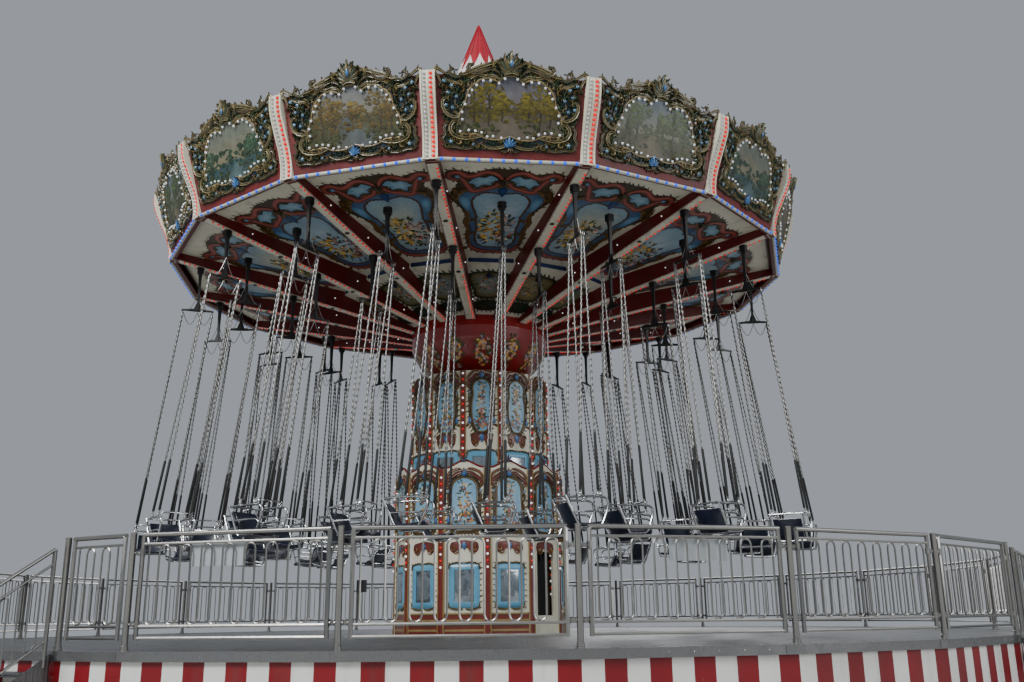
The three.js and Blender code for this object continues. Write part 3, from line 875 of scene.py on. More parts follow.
def metal_group() -> bpy.types.NodeTree:
    """Builds the group for handled metal: fine drawn lines, smudges and dull spots.

    Returns:
        The group, with outputs Colour, Roughness and Height.
    """
    tree, g, given, out = make_group(
        "handled_metal",
        {"Colour": (0.6, 0.6, 0.6, 1.0), "Roughness": 0.3, "Scale": 1.0, "Smudge": 0.4},
        {"Colour": "NodeSocketColor", "Roughness": "NodeSocketFloat", "Height": "NodeSocketFloat"},
    )
    place = g.node("TexCoord").outputs["Object"]
    scale = given.outputs["Scale"]
    smudges = g.noise(place, g.sum("MULTIPLY", scale, 6), 5)
    drawn = g.noise(place, g.sum("MULTIPLY", scale, 90), 2, (1, 1, 0.08))
    spots = g.ramp(g.noise(place, g.sum("MULTIPLY", scale, 30), 4), 0.6, 0.75)
    share = g.sum("MULTIPLY", g.ramp(smudges, 0.4, 0.75), given.outputs["Smudge"])
    dulled = g.mix(share, given.outputs["Colour"], (0.2, 0.19, 0.18, 1))
    spotted = g.mix(
        g.sum("MULTIPLY", spots, g.sum("MULTIPLY", given.outputs["Smudge"], 0.5)), dulled,
        (0.1, 0.09, 0.08, 1)
    )
    rough = g.sum("MULTIPLY_ADD", share, 0.35, given.outputs["Roughness"])
    g.feed(out.inputs["Colour"], spotted)
    g.feed(out.inputs["Roughness"], g.sum("MULTIPLY_ADD", drawn, 0.1, rough, clamp=True))
    g.feed(out.inputs["Height"], drawn)
    return tree


def bay_group() -> bpy.types.NodeTree:
    """Builds the group that finds a place in the bays of a polygon about the axis.

    The bearing is the arc tangent of X and -Y. The bay's angle is what is left of the bearing,
    less the start, after whole steps, less half a step, and Along is the distance from the axis
    square to the bay times that angle's tangent.

    Returns:
        The group, with outputs Along, Reach, Angle and Bay.
    """
    tree, g, given, out = make_group(
        "bay_place",
        {"Start": 0.0, "Step": 15.0},
        {
            "Along": "NodeSocketFloat", "Reach": "NodeSocketFloat", "Angle": "NodeSocketFloat",
            "Bay": "NodeSocketFloat"
        },
    )
    place = g.node("SeparateXYZ", {0: g.node("TexCoord").outputs["Object"]})
    x, y = place.outputs[0], place.outputs[1]
    bearing = g.sum("DEGREES", g.sum("ARCTAN2", x, g.sum("MULTIPLY", y, -1)))
    turns = g.sum("DIVIDE", g.sum("SUBTRACT", bearing, given.outputs["Start"]), given.outputs["Step"])
    turns = g.sum("ADD", turns, 64)
    bay = g.sum("FLOOR", turns)
    angle = g.sum("MULTIPLY", g.sum("SUBTRACT", g.sum("SUBTRACT", turns, bay), 0.5), given.outputs["Step"])
    slant = g.sum("RADIANS", angle)
    length = g.sum("SQRT", g.sum("MULTIPLY_ADD", x, x, g.sum("MULTIPLY", y, y)))
    g.feed(out.inputs["Along"], g.sum("MULTIPLY", length, g.sum("SINE", slant)))
    g.feed(out.inputs["Reach"], g.sum("MULTIPLY", length, g.sum("COSINE", slant)))
    g.feed(out.inputs["Angle"], angle)
    g.feed(out.inputs["Bay"], bay)
    return tree


GROUPS: dict[str, bpy.types.NodeTree] = {}
MATERIALS: dict[str, bpy.types.Material] = {}


def group_node(graph: Graph, name: str, inputs: dict[str, Any]) -> bpy.types.Node:
    """Places one of the shared groups in a material, building it the first time."""
    makers = {"weathered_paint": weathered_group, "handled_metal": metal_group, "bay_place": bay_group}
    if name not in GROUPS:
        GROUPS[name] = makers[name]()
    made = graph.node("Group", node_tree=GROUPS[name])
    for key, value in inputs.items():
        graph.feed(made.inputs[key], value)
    return made


@dataclass(frozen=True)
class Finish:
    """A painted finish in one colour."""

    name: str
    colour: tuple[float, float, float]
    slot: str = ""
    roughness: float = 0.45
    scale: float = 1.0
    fade: float = 0.4
    grime: float = 0.3
    dust: float = 0.3
    bump: float = 0.0006
    coat: float = 0.0

    def base(self, graph: Graph) -> Any:
        """Gives the colour before weathering."""
        return (*self.colour, 1.0)

    def relief(self, graph: Graph, height: bpy.types.NodeSocket) -> bpy.types.NodeSocket:
        """Gives the height that the bump is made from."""
        return height

    def finished(self, graph: Graph, shader: bpy.types.Node) -> None:
        """Makes the weathered colour, roughness and bump and feeds them to the shader."""
        worn = group_node(
            graph,
            "weathered_paint",
            {
                "Colour": self.base(graph),
                "Roughness": self.roughness,
                "Scale": self.scale,
                "Fade": self.fade,
                "Grime": self.grime,
                "Dust": self.dust,
            },
        )
        graph.feed(shader.inputs["Base Color"], worn.outputs["Colour"])
        graph.feed(shader.inputs["Roughness"], worn.outputs["Roughness"])
        graph.feed(shader.inputs["Coat Weight"], self.coat)
        height = self.relief(graph, worn.outputs["Height"])
        bump = graph.node("Bump", {"Height": height, "Distance": self.bump, "Strength": 0.8})
        graph.feed(shader.inputs["Normal"], bump.outputs[0])

    def material(self) -> bpy.types.Material:
        """Gives the finish's material, making it the first time."""
        if self.name not in MATERIALS:
            made = bpy.data.materials.new(f"{self.name}_finish")
            made.use_nodes = True
            self.finished(Graph(made.node_tree), made.node_tree.nodes["Principled BSDF"])
            MATERIALS[self.name] = made
        return MATERIALS[self.name]


@dataclass(frozen=True)
class TintedFinish(Finish):
    """Paint whose colour comes from the piece's own tints, darker where they say shade."""

    # The tint's multiplier where its shade is 0: how dark the painted shade in the hollows is.
    hollow: float = 0.5

    def base(self, graph: Graph) -> Any:
        """Gives the tint, multiplied by less in the hollows, which paints shade there."""
        tint = graph.node("Attribute", attribute_name="tint")
        dark = graph.mix(1.0, tint.outputs["Color"], (self.hollow, self.hollow, self.hollow, 1), "MULTIPLY")
        return graph.mix(tint.outputs["Alpha"], dark, tint.outputs["Color"])


@dataclass(frozen=True)
class StripedFinish(Finish):
    """Paint in upright stripes that each bay has the same number of."""

    other: tuple[float, float, float] = (0.7, 0.7, 0.7)
    start: float = 0.0
    step: float = 15.0
    stripe: float = 0.205

    def base(self, graph: Graph) -> Any:
        """Gives one colour or the other by the whole number of stripes along the bay."""
        place = group_node(graph, "bay_place", {"Start": self.start, "Step": self.step})
        wavy = graph.noise(graph.node("TexCoord").outputs["Object"], 9.0, 2)
        along = graph.sum("MULTIPLY_ADD", wavy, 0.004, place.outputs["Along"])
        share = graph.sum("MODULO", graph.sum("ADD", graph.sum("DIVIDE", along, self.stripe), 40), 2)
        edge = graph.sum("MULTIPLY", graph.ramp(share, 0.0, 0.02), graph.ramp(share, 1.02, 1.0))
        return graph.mix(edge, (*self.other, 1), (*self.colour, 1))


@dataclass(frozen=True)
class ZigzagFinish(Finish):
    """Paint over a zigzag of another colour round a cone, which covers the cone down to its foot."""

    other: tuple[float, float, float] = (0.7, 0.7, 0.7)
    start: float = -12.0
    step: float = 36.0
    low: float = 10.83
    high: float = 11.17

    def base(self, graph: Graph) -> Any:
        """Gives the other colour under a line that falls from each bay's middle to its sides."""
        place = group_node(graph, "bay_place", {"Start": self.start, "Step": self.step})
        level = graph.node("SeparateXYZ", {0: graph.node("TexCoord").outputs["Object"]}).outputs[2]
        fall = graph.sum(
            "MULTIPLY", graph.sum("ABSOLUTE", place.outputs["Angle"]),
            2 * (self.high - self.low) / self.step
        )
        share = graph.ramp(graph.sum("ADD", level, fall), self.high - 0.006, self.high + 0.006)
        seam = graph.ramp(
            graph.sum(
                "ABSOLUTE",
                graph.sum("SUBTRACT", graph.sum("ABSOLUTE", place.outputs["Angle"]), self.step / 2)
            ),
            0.35, 0.1
        )
        body = graph.mix(graph.sum("MULTIPLY", seam, 0.35), (*self.colour, 1), (0.08, 0.01, 0.01, 1))
        return graph.mix(share, (*self.other, 1), body)


@dataclass(frozen=True)
class MetalFinish(Finish):
    """Bare or plated metal."""

    smudge: float = 0.35

    def finished(self, graph: Graph, shader: bpy.types.Node) -> None:
        """Makes the handled colour, roughness and bump and feeds them to the shader."""
        worn = group_node(
            graph,
            "handled_metal",
            {
                "Colour": self.base(graph), "Roughness": self.roughness, "Scale": self.scale,
                "Smudge": self.smudge
            },
        )
        graph.feed(shader.inputs["Base Color"], worn.outputs["Colour"])
        graph.feed(shader.inputs["Roughness"], worn.outputs["Roughness"])
        graph.feed(shader.inputs["Metallic"], 1.0)
        height = self.relief(graph, worn.outputs["Height"])
        bump = graph.node("Bump", {"Height": height, "Distance": self.bump, "Strength": 0.7})
        graph.feed(shader.inputs["Normal"], bump.outputs[0])


@dataclass(frozen=True)
class LinkFinish(MetalFinish):
    """Metal that is darker where the piece's tints are: painted shade in the gaps between links."""

    def base(self, graph: Graph) -> Any:
        """Gives the colour multiplied by the tint."""
        tint = graph.node("Attribute", attribute_name="tint")
        return graph.mix(1.0, tint.outputs["Color"], (*self.colour, 1), "MULTIPLY")


@dataclass(frozen=True)
class TreadFinish(MetalFinish):
    """Checkered plate: short raised bars that turn from cell to cell."""

    cell: float = 0.045

    def relief(self, graph: Graph, height: bpy.types.NodeSocket) -> bpy.types.NodeSocket:
        """Gives the bars' height: long one way in the even cells and the other way in the odd ones."""
        place = graph.node("TexCoord").outputs["Object"]
        scaled = graph.node("VectorMath", {0: place}, operation="SCALE")
        scaled.inputs["Scale"].default_value = 1 / self.cell
        parts = graph.node("SeparateXYZ", {0: scaled.outputs[0]})
        x, y = parts.outputs[0], parts.outputs[1]
        cells = graph.sum("ADD", graph.sum("FLOOR", x), graph.sum("FLOOR", y))
        odd = graph.sum("ABSOLUTE", graph.sum("MODULO", cells, 2))
        u = graph.sum("ABSOLUTE", graph.sum("SUBTRACT", graph.sum("FRACT", x), 0.5))
        v = graph.sum("ABSOLUTE", graph.sum("SUBTRACT", graph.sum("FRACT", y), 0.5))
        long_way = graph.sum("MULTIPLY", graph.ramp(u, 0.42, 0.3), graph.ramp(v, 0.14, 0.07))
        cross_way = graph.sum("MULTIPLY", graph.ramp(v, 0.42, 0.3), graph.ramp(u, 0.14, 0.07))
        bars = graph.sum("MULTIPLY_ADD", odd, graph.sum("SUBTRACT", long_way, cross_way), cross_way)
        return graph.sum("MULTIPLY_ADD", height, 0.1, bars)


@dataclass(frozen=True)
class LampFinish(Finish):
    """A lit bulb of coloured glass."""

    strength: float = 2.0

    def finished(self, graph: Graph, shader: bpy.types.Node) -> None:
        """Lights the glass, a little more or less from bulb to bulb."""
        place = graph.node("TexCoord").outputs["Object"]
        change = graph.noise(place, 7.0, 1)
        colour = graph.mix(
            graph.ramp(change, 0.35, 0.65), (*[0.8 * c for c in self.colour], 1), (*self.colour, 1)
        )
        graph.feed(shader.inputs["Base Color"], colour)
        graph.feed(shader.inputs["Roughness"], graph.sum("MULTIPLY_ADD", change, 0.1, self.roughness))
        graph.feed(shader.inputs["Coat Weight"], self.coat)
        graph.feed(shader.inputs["Emission Color"], colour)
        graph.feed(shader.inputs["Emission Strength"], self.strength)


CREAM = linear("d9d6c2")
IVORY = linear("d6d2bf")
MAROON = linear("652423")
DARK_RED = linear("5e1516")
OCHRE = linear("8f7c4e")
GOLD = linear("8a7148")
MOSS = linear("3c4a36")
SKY = linear("86a9bf")
BLUE = linear("1f4d86")
MID_BLUE = linear("4f7ea3")
LEAF_GREEN = linear("5b6b3c")

CREAM_PAINT = Finish("cream_paint", CREAM, "cream_panel", roughness=0.42, coat=0.15)
BOARD_WHITE = Finish("board_white", linear("aab0b4"), "cream_panel", roughness=0.5, grime=0.3)
IVORY_PAINT = Finish("ivory_paint", IVORY, "ivory_panel", roughness=0.5, grime=0.35, dust=0.0)
MAROON_PAINT = Finish("maroon_paint", MAROON, "maroon_board", roughness=0.5, fade=0.6, grime=0.4)
CRIMSON_PAINT = Finish("crimson_paint", linear("861a1a"), "crimson_paint", roughness=0.32, fade=0.5, coat=0.3)
SKIRT_PAINT = StripedFinish(
    "striped_paint", linear("7a0d1b"), "striped_board", roughness=0.4, grime=0.35, other=linear("dcdcd8"),
    start=-6.84
)
SPIRE_PAINT = ZigzagFinish(
    "spire_paint", linear("a3202f"), "crimson_paint", roughness=0.35, other=linear("e0dedb"), coat=0.3
)
ROOF_CANVAS = Finish("roof_canvas", linear("8f2228"), "roof_canvas", roughness=0.8, bump=0.002, scale=1.4)
DARK_STEEL = Finish(
    "dark_steel", linear("26272a"), "dark_steel", roughness=0.5, fade=0.5, grime=0.5, dust=0.5
)
BLACK_STEEL = Finish("black_steel", linear("1b1b1c"), "dark_steel", roughness=0.42, scale=3, grime=0.4)
HOSE = Finish("black_hose", linear("121314"), "black_hose", roughness=0.6, scale=4, grime=0.2)
STAINLESS = MetalFinish(
    "stainless_tube", linear("93928f"), "stainless_tube", roughness=0.26, scale=1.2, bump=0.0002
)
CHROME = MetalFinish(
    "chrome_tube", linear("cacbcc"), "chrome_tube", roughness=0.12, scale=2, smudge=0.2, bump=0.0001
)
CHAIN = MetalFinish(
    "chain_steel", linear("8b8b89"), "chain_steel", roughness=0.34, scale=3, smudge=0.5, bump=0.0002
)
CHAIN_TINTED = LinkFinish(
    "chain_links", linear("a4a4a1"), "chain_steel", roughness=0.36, scale=3, smudge=0.4, bump=0.0002
)
MIRROR = MetalFinish(
    "mirror_pane", linear("a9b2b8"), "mirror_pane", roughness=0.05, smudge=0.15, bump=0.00003
)
TREAD = TreadFinish(
    "tread_plate", linear("6d6e70"), "tread_plate", roughness=0.36, smudge=0.5, bump=0.004, cell=0.06
)
EDGE_TRIM = MetalFinish("edge_trim", linear("8e8e8f"), "tread_plate", roughness=0.2, smudge=0.5, bump=0.0003)
SEAT_SHELL = Finish("navy_seat", linear("151d30"), "navy_seat", roughness=0.38, scale=4, grime=0.2, coat=0.2)
# Near-black paint for the sheet that stands for the shaded inside of the open panel.
HATCH_SHADE = Finish("hatch_shade_paint", linear("0c0b0b"), "dark_steel", roughness=0.8, scale=3, grime=0.4, dust=0.1)
CARVED = TintedFinish(
    "carved_paint", GOLD, "gold_carving", roughness=0.36, fade=0.3, grime=0.25, scale=3, hollow=0.28,
    coat=0.25, bump=0.0012
)
PAINTED = TintedFinish(
    "painted_ornament", GOLD, "ivory_panel", roughness=0.4, fade=0.35, grime=0.2, dust=0.0, scale=2.5,
    hollow=0.6
)
SWEEP_PAINT = TintedFinish("sweep_paint", CREAM, "sweep_paint", roughness=0.42, grime=0.35, hollow=0.6)
RED_LAMP = LampFinish("red_lamp", (0.8, 0.008, 0.005), "lamp_glass", roughness=0.2, strength=0.55, coat=0.3)
WHITE_LAMP = LampFinish("white_lamp", (0.9, 0.92, 0.95), "lamp_glass", roughness=0.15, strength=1.0, coat=0.4)
BLUE_LAMP = LampFinish("blue_lamp", (0.0, 0.1, 0.9), "lamp_glass", roughness=0.3, strength=0.6, coat=0.1)
CLEAR_LAMP = LampFinish("clear_lamp", (0.5, 0.51, 0.5), "lamp_glass", roughness=0.1, strength=0.12, coat=0.6)
PEARL_LAMP = LampFinish(
    "pearl_lamp", (0.62, 0.65, 0.68), "lamp_glass", roughness=0.1, strength=0.45, coat=0.6
)


def lay(name: str, surface: Surface, finish: Finish, body: Body, crease: float = 38.0) -> bpy.types.Object:
    """Puts a surface into the scene as a piece that rides on a body.

    Args:
        name: The piece's name.
        surface: Its surface, in metres in the frame's own place.
        finish: Its finish.
        body: The body that it rides on.
        crease: Angle in degrees past which an edge stays sharp.

    Returns:
        The piece.
    """
    mesh = bpy.data.meshes.new(name)
    corners = np.concatenate([surface.quads.ravel(), surface.tris.ravel()]).astype(np.int32)
    sizes = np.concatenate([np.full(len(surface.quads), 4), np.full(len(surface.tris), 3)]).astype(np.int32)
    mesh.vertices.add(len(surface.points))
    mesh.vertices.foreach_set("co", surface.points.astype(np.float32).ravel())
    mesh.loops.add(len(corners))
    mesh.loops.foreach_set("vertex_index", corners)
    mesh.polygons.add(len(sizes))
    mesh.polygons.foreach_set("loop_start", np.concatenate([[0], np.cumsum(sizes)[:-1]]).astype(np.int32))
    mesh.polygons.foreach_set("loop_total", sizes)
    tint = mesh.attributes.new("tint", "FLOAT_COLOR", "POINT")
    tint.data.foreach_set("color", np.ascontiguousarray(surface.tints, np.float32).ravel())
    mesh.update(calc_edges=True)
    mesh.validate()
    mesh.shade_smooth()
    mesh.set_sharp_from_angle(angle=math.radians(crease))
    mesh.materials.append(finish.material())
    piece = bpy.data.objects.new(name, mesh)
    bpy.context.scene.collection.objects.link(piece)
    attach(piece, body.value)
    return piece


def dress(finish: Finish, *nodes: str) -> None:
    """Gives CAD nodes a finish.

    Args:
        finish: The finish.
        nodes: Names of the nodes.
    """
    for name in nodes:
        mesh = frame["nodes"][name].data
        mesh.materials.clear()
        mesh.materials.append(finish.material())


def numbered(stem: str, count: int) -> list[str]:
    """Gives names such as stem_1 to stem_4."""
    return [f"{stem}_{i + 1}" for i in range(count)]


def ringed(
    profile: Sequence[Sequence[float]], sides: int, start: float, colour: Sequence[float] = WHITE
) -> Surface:
    """Turns a closed profile round the axis.

    Args:
        profile: Radius and height, up the outside and down the inside.
        sides: Corners round the axis.
        start: Bearing of a corner, in degrees.
        colour: The tint.

    Returns:
        The closed ring.
    """
    given = np.asarray(profile, float)
    turn = np.radians(start) + np.arange(sides) * 2 * np.pi / sides
    ring = np.stack([np.sin(turn), -np.cos(turn), np.zeros(sides)], axis=-1)
    points = given[:, 0, None, None] * ring[None] + given[:, 1, None, None] * np.array([0, 0, 1.0])
    return grid(points, np.broadcast_to([*colour, 1.0], (*points.shape[:2], 4)), True, True)


def loft(sections: np.ndarray, colour: Sequence[float] = WHITE) -> Surface:
    """Joins closed sections, one after another, and closes both ends.

    Args:
        sections: (n, k, 3); a section runs so that it turns clockwise seen along the stack.
        colour: The tint.

    Returns:
        The closed body.
    """
    surface = grid(sections, np.broadcast_to([*colour, 1.0], (*sections.shape[:2], 4)), False, True)
    ring = np.arange(sections.shape[1])
    return fan_caps(surface, (ring, ring + (len(sections) - 1) * sections.shape[1]))


def carved(
    points: Sequence[Sequence[float]],
    width: float,
    crown: float,
    ends: float = 0.35,
    ridge: Sequence[float] = GOLD,
    channel: Sequence[float] = MOSS,
    lift: float = 0.0,
    count: int = 12,
) -> Surface:
    """Carves a scroll along a smooth line: two ridges with a channel between them.

    Across the scroll the heights are 0, 1, 0.45, 1 and 0 times the crown at -1, -0.6, 0, 0.6 and 1
    times the half width, which swells from the ends to the middle.

    Args:
        points: The line's points, (n, 2).
        width: Half width.
        crown: Height of the ridges.
        ends: Half width at the ends, over the whole half width.
        ridge: Colour of the ridges.
        channel: Colour of the channel.
        lift: Height of the edges.
        count: Points along the line.

    Returns:
        The scroll.
    """
    path = smooth(points, count, closed=False)
    ahead = directions(path)
    left = np.stack([-ahead[:, 1], ahead[:, 0]], axis=-1)
    half = taper(count, width, ends)
    across = np.array([1, 0.6, 0, -0.6, -1])
    flat = path[:, None] + half[:, None, None] * across[None, :, None] * left[:, None]
    rise = np.array([0, 1, 0.45, 1, 0])[None, :] * (crown * (0.45 + 0.55 * half / width))[:, None] + lift
    # Painted shade: the feet take half the channel's colour with a shade of 0.1, and the channel a shade of
    # 0.35, which the tinted finishes darken.
    dark = np.array(channel) * 0.5
    colours = np.array([[*dark, 0.1], [*ridge, 1.0], [*channel, 0.35], [*ridge, 1.0], [*dark, 0.1]])
    return grid(np.concatenate([flat, rise[..., None]], axis=-1), np.broadcast_to(colours, (count, 5, 4)))


def fan_of_leaves(
    centre: Sequence[float], size: float, count: int, spread: float, colours: Sequence[Sequence[float]],
    lift: float, heading: float = math.pi / 2
) -> Surface:
    """Sets long leaves round a point like a palmette, the middle one longest.

    Args:
        centre: The point, (2,).
        size: Length of the middle leaf.
        count: Number of leaves.
        spread: Angle between the first and last leaf, in radians.
        colours: Colours that the leaves take in turn.
        lift: Height of the first leaf.
        heading: Direction of the middle leaf, in radians.

    Returns:
        The leaves.
    """
    share = np.linspace(-1, 1, count)
    sizes = size * (1 - 0.4 * np.abs(share) ** 1.4)
    tones = np.array([colours[i % len(colours)] for i in range(count)])
    lifts = lift + 0.004 * (1 - np.abs(share))
    places = np.column_stack([np.full(count, centre[0]), np.full(count, centre[1]), lifts])
    return copies(leaf(1, 0.16, 7), flat_turns(heading + share * spread / 2, sizes, 0.75), places, tones)


def bouquet(
    middle: Sequence[float], reach: Sequence[float], count: int, seed: int, lift: float, size: float,
    colours: Sequence[Sequence[float]], foliage: Sequence[float] = LEAF_GREEN,
) -> Surface:
    """Paints a bunch of flowers over leaves: spots within an oval, thinner towards its edge.

    Args:
        middle: Middle of the oval, (2,).
        reach: Half width and half height.
        count: Number of flowers.
        seed: Number that fixes the spots.
        lift: Height over the panel.
        size: Radius of a flower.
        colours: Colours that the flowers take.
        foliage: Colour of the leaves.

    Returns:
        The bunch.
    """
    dice = np.random.default_rng(seed)
    angle = dice.uniform(0, 2 * np.pi, 2 * count)
    away = dice.uniform(0.1, 1.0, 2 * count) ** 0.7
    circle = np.stack([np.cos(angle), np.sin(angle)], axis=-1)
    spots = np.asarray(middle) + circle * away[:, None] * np.asarray(reach)
    palette = np.asarray(colours)
    tones = palette[dice.integers(0, len(palette), count)] * dice.uniform(0.7, 1.1, (count, 1))
    sizes = size * dice.uniform(0.7, 1.25, count)
    greens = np.asarray(foliage) * dice.uniform(0.5, 1.2, (count, 1))
    leaves = scattered(leaf(1, 0.03, 4), spots[count:], sizes * 2.2, greens, lift, angle[count:])
    blooms = scattered(bloom(), spots[:count], sizes, tones, lift + 0.0016, angle[:count])
    return join([leaves, blooms])


def rows_of(lamp: Surface, spots: np.ndarray) -> Surface:
    """Repeats a lamp at points of a flat frame, (k, 3)."""
    return copies(lamp, np.broadcast_to(np.eye(3), (len(spots), 3, 3)), spots)


def along_line(start: Sequence[float], end: Sequence[float], count: int) -> np.ndarray:
    """Gives evenly spaced points between two points."""
    share = np.linspace(0, 1, count)[:, None]
    return np.asarray(start) * (1 - share) + np.asarray(end) * share


# The crown's outside


@dataclass
class RoundingBoards:
    """Carved frames round painted views, ribs with lamps and the lit moulding under each board."""

    apothem: float = 5.002
    foot: float = 6.694
    lean: float = math.radians(16.10)
    rib_height: float = 1.04
    view_tone: float = 0.27
    shoulder: tuple = (
        (0, 0.115), (0.3, 0.1), (0.6, 0.09), (0.86, 0.1), (0.9, 0.2), (0.88, 0.4), (0.92, 0.6), (0.93, 0.8),
        (0.93, 0.99), (0.86, 1.06), (0.7, 1.08), (0.56, 1.13), (0.44, 1.19), (0.3, 1.24), (0.15, 1.3),
        (0, 1.355),
    )
    view: tuple = (
        (0, 0.3), (0.14, 0.25), (0.33, 0.26), (0.46, 0.32), (0.6, 0.31), (0.73, 0.33), (0.71, 0.48),
        (0.68, 0.62), (0.62, 0.74), (0.58, 0.88), (0.5, 0.97), (0.4, 1.04), (0.27, 1.05), (0.17, 1.01),
        (0.09, 1.08), (0, 1.09),
    )
    pearls: tuple = (
        (0.12, 0.275), (0.235, 0.295), (0.315, 0.285), (0.39, 0.34), (0.475, 0.36), (0.565, 0.365),
        (0.68, 0.345), (0.655, 0.51), (0.66, 0.61), (0.62, 0.71), (0.57, 0.82), (0.53, 0.89), (0.47, 0.955),
        (0.38, 1.015), (0.28, 1.02), (0.165, 0.99), (0.085, 1.05),
    )
    rib_profile: tuple = (
        (0.025, 0.0), (0.030, 0.15), (0.080, 0.34), (0.205, 0.6), (0.300, 0.82), (0.326, 1.03)
    )

    def place(self, flat: Surface, bearings: Sequence[float] | np.ndarray) -> Surface:
        """Takes a flat drawing to the boards at some bearings."""
        return around(flat.moved(*panel_place(self.apothem, self.foot, self.lean)), bearings)

    def ground(self) -> Surface:
        """Gives the painted ground between the carvings: deep blue, darker towards its edge."""
        outline = halves(self.shoulder, 56)
        return painted_field(outline, linear("22301f"), linear("16336b"), 0.003, 0.004)

    def scene_colours(self, spots: np.ndarray, kind: int) -> np.ndarray:
        """Colours a view: sky over a hazy skyline, then water or grass with a pale track.

        The sky runs from one blue to another with height, the skyline is a sum of two sines, the
        track's half width grows downwards, and soft waves change the tone. All of it is then
        multiplied by the view's tone, which darkens the whole view.

        Args:
            spots: (n, m, 2).
            kind: 0 pond, 1 meadow track, 2 shore, 3 valley.

        Returns:
            Colours, (n, m, 3).
        """
        u, v = spots[..., 0], spots[..., 1]
        skyline = [0.68, 0.6, 0.55, 0.72][kind] + 0.02 * np.sin(9 * u + kind) + 0.012 * np.sin(23 * u)
        high = [linear("8f97a8"), linear("7f9aa8"), linear("a9b4a4"), linear("9aa7b4")][kind]
        low = [linear("b9aeb0"), linear("b5b894"), linear("d0c49c"), linear("c4bfa6")][kind]
        land = [linear("6e6a58"), linear("6f6d34"), linear("4f7c80"), linear("5d6a3e")][kind]
        near = [linear("a1937e"), linear("4c4e28"), linear("6f8f8c"), linear("7c7440")][kind]
        track = [linear("a39683"), linear("a99c7a"), linear("8fb0b2"), linear("8d9aa0")][kind]
        up = np.clip((v - skyline) / 0.4, 0, 1)[..., None]
        down = np.clip((skyline - v) / 0.4, 0, 1)[..., None]
        sky = (1 - up) * np.array(low) + up * np.array(high)
        ground = (1 - down) * np.array(land) + down * np.array(near)
        bend = 0.12 * np.sin(7 * v + 2 * kind)
        width = 0.04 + 0.75 * (skyline - v)
        share = np.clip(1.4 - np.abs(u - bend) / np.maximum(width, 0.02), 0, 1)[..., None] * 0.85
        ground = ground * (1 - share) + np.array(track) * share
        wave = 1 + 0.12 * np.sin(31 * u + 17 * v + kind)[..., None] * np.sin(23 * v - 8 * u)[..., None]
        return np.where((v > skyline)[..., None], sky, ground) * wave * self.view_tone

    def view_field(self, kind: int) -> Surface:
        """Gives the painted view within its opening as rings that shrink to the middle."""
        outline = halves(self.view, 60)
        centre = np.array([0, 0.66])
        shares = np.linspace(1.0, 0.08, 10)
        flat = centre + shares[:, None, None] * (outline - centre)
        tints = np.concatenate([self.scene_colours(flat, kind), np.ones((*flat.shape[:2], 1))], axis=-1)
        points = np.concatenate([flat, np.full((*flat.shape[:2], 1), 0.009)], axis=-1)
        return with_middle(grid(points, tints, False, True), 60)

    def strokes(
        self, dice: np.random.Generator, spots: np.ndarray, size: float, tones: np.ndarray, lift: float
    ) -> Surface:
        """Paints short leaf strokes at spots, leaving out those that would cross the view's rim."""
        side = np.array(sorted(self.view[5:], key=lambda point: point[1]))
        inside = np.abs(spots[:, 0]) < np.interp(spots[:, 1], side[:, 1], side[:, 0]) - 0.012
        count = len(spots)
        sizes, turns = size * dice.uniform(0.6, 1.4, count), dice.uniform(-0.7, 0.7, count)
        return scattered(dab(4), spots[inside], sizes[inside], tones[inside], lift, turns[inside], 0.6)

    def grove(self, kind: int) -> Surface:
        """Paints woods at both sides of a view, a far tree line and banks, all in many leaf strokes."""
        dice = np.random.default_rng(40 + kind)
        parts = []
        stands = [
            [
                (-0.5, 0.42, 0.64, 0.2), (-0.3, 0.43, 0.66, 0.2), (-0.12, 0.5, 0.36, 0.13),
                (0.24, 0.5, 0.36, 0.14), (0.4, 0.44, 0.6, 0.2), (0.54, 0.42, 0.5, 0.16)
            ],
            [
                (-0.52, 0.44, 0.6, 0.2), (-0.34, 0.46, 0.62, 0.18), (0.1, 0.54, 0.34, 0.12),
                (0.28, 0.47, 0.6, 0.17), (0.48, 0.42, 0.62, 0.2)
            ],
            [(-0.56, 0.4, 0.4, 0.13), (0.52, 0.44, 0.36, 0.14), (0.38, 0.5, 0.2, 0.12)],
            [
                (-0.48, 0.44, 0.56, 0.2), (-0.28, 0.5, 0.44, 0.16), (0.04, 0.6, 0.26, 0.12),
                (0.4, 0.46, 0.62, 0.2), (0.55, 0.44, 0.44, 0.15)
            ],
        ][kind]
        tone = np.array([linear("736a26"), linear("4d5f28"), linear("3f5a44"), linear("6b5a22")][kind])
        line = np.stack([dice.uniform(-0.6, 0.6, 130), dice.uniform(0.5, 0.74, 130)], axis=-1)
        parts.append(self.strokes(dice, line, 0.036, 0.4 * tone * dice.uniform(0.5, 1.5, (130, 1)), 0.0102))
        for number, (u, v, tall, wide) in enumerate(stands):
            trunk = np.array([(u, v), (u + 0.015, v + 0.4 * tall), (u - 0.01, v + 0.75 * tall)])
            parts.append(
                ribbon(
                    smooth(trunk, 5, False), taper(5, 0.014, 0.5), 0.001, linear("1d1b16"),
                    linear("3c3629"), 0.0112
                )
            )
            count = 100
            angle = dice.uniform(0, 2 * np.pi, count)
            away = np.sqrt(dice.uniform(0, 1, count)) * (1 + 0.25 * np.sin(3 * angle + number))
            spots = np.stack(
                [u + wide * away * np.cos(angle), v + 0.66 * tall + 0.36 * tall * away * np.sin(angle)],
                axis=-1
            )
            lit = 0.16 + 0.7 * np.clip((spots[:, 1] - v) / tall, 0, 1) * dice.uniform(0.2, 1.5, count)
            parts.append(self.strokes(dice, spots, 0.028, tone * lit[:, None], 0.0124))
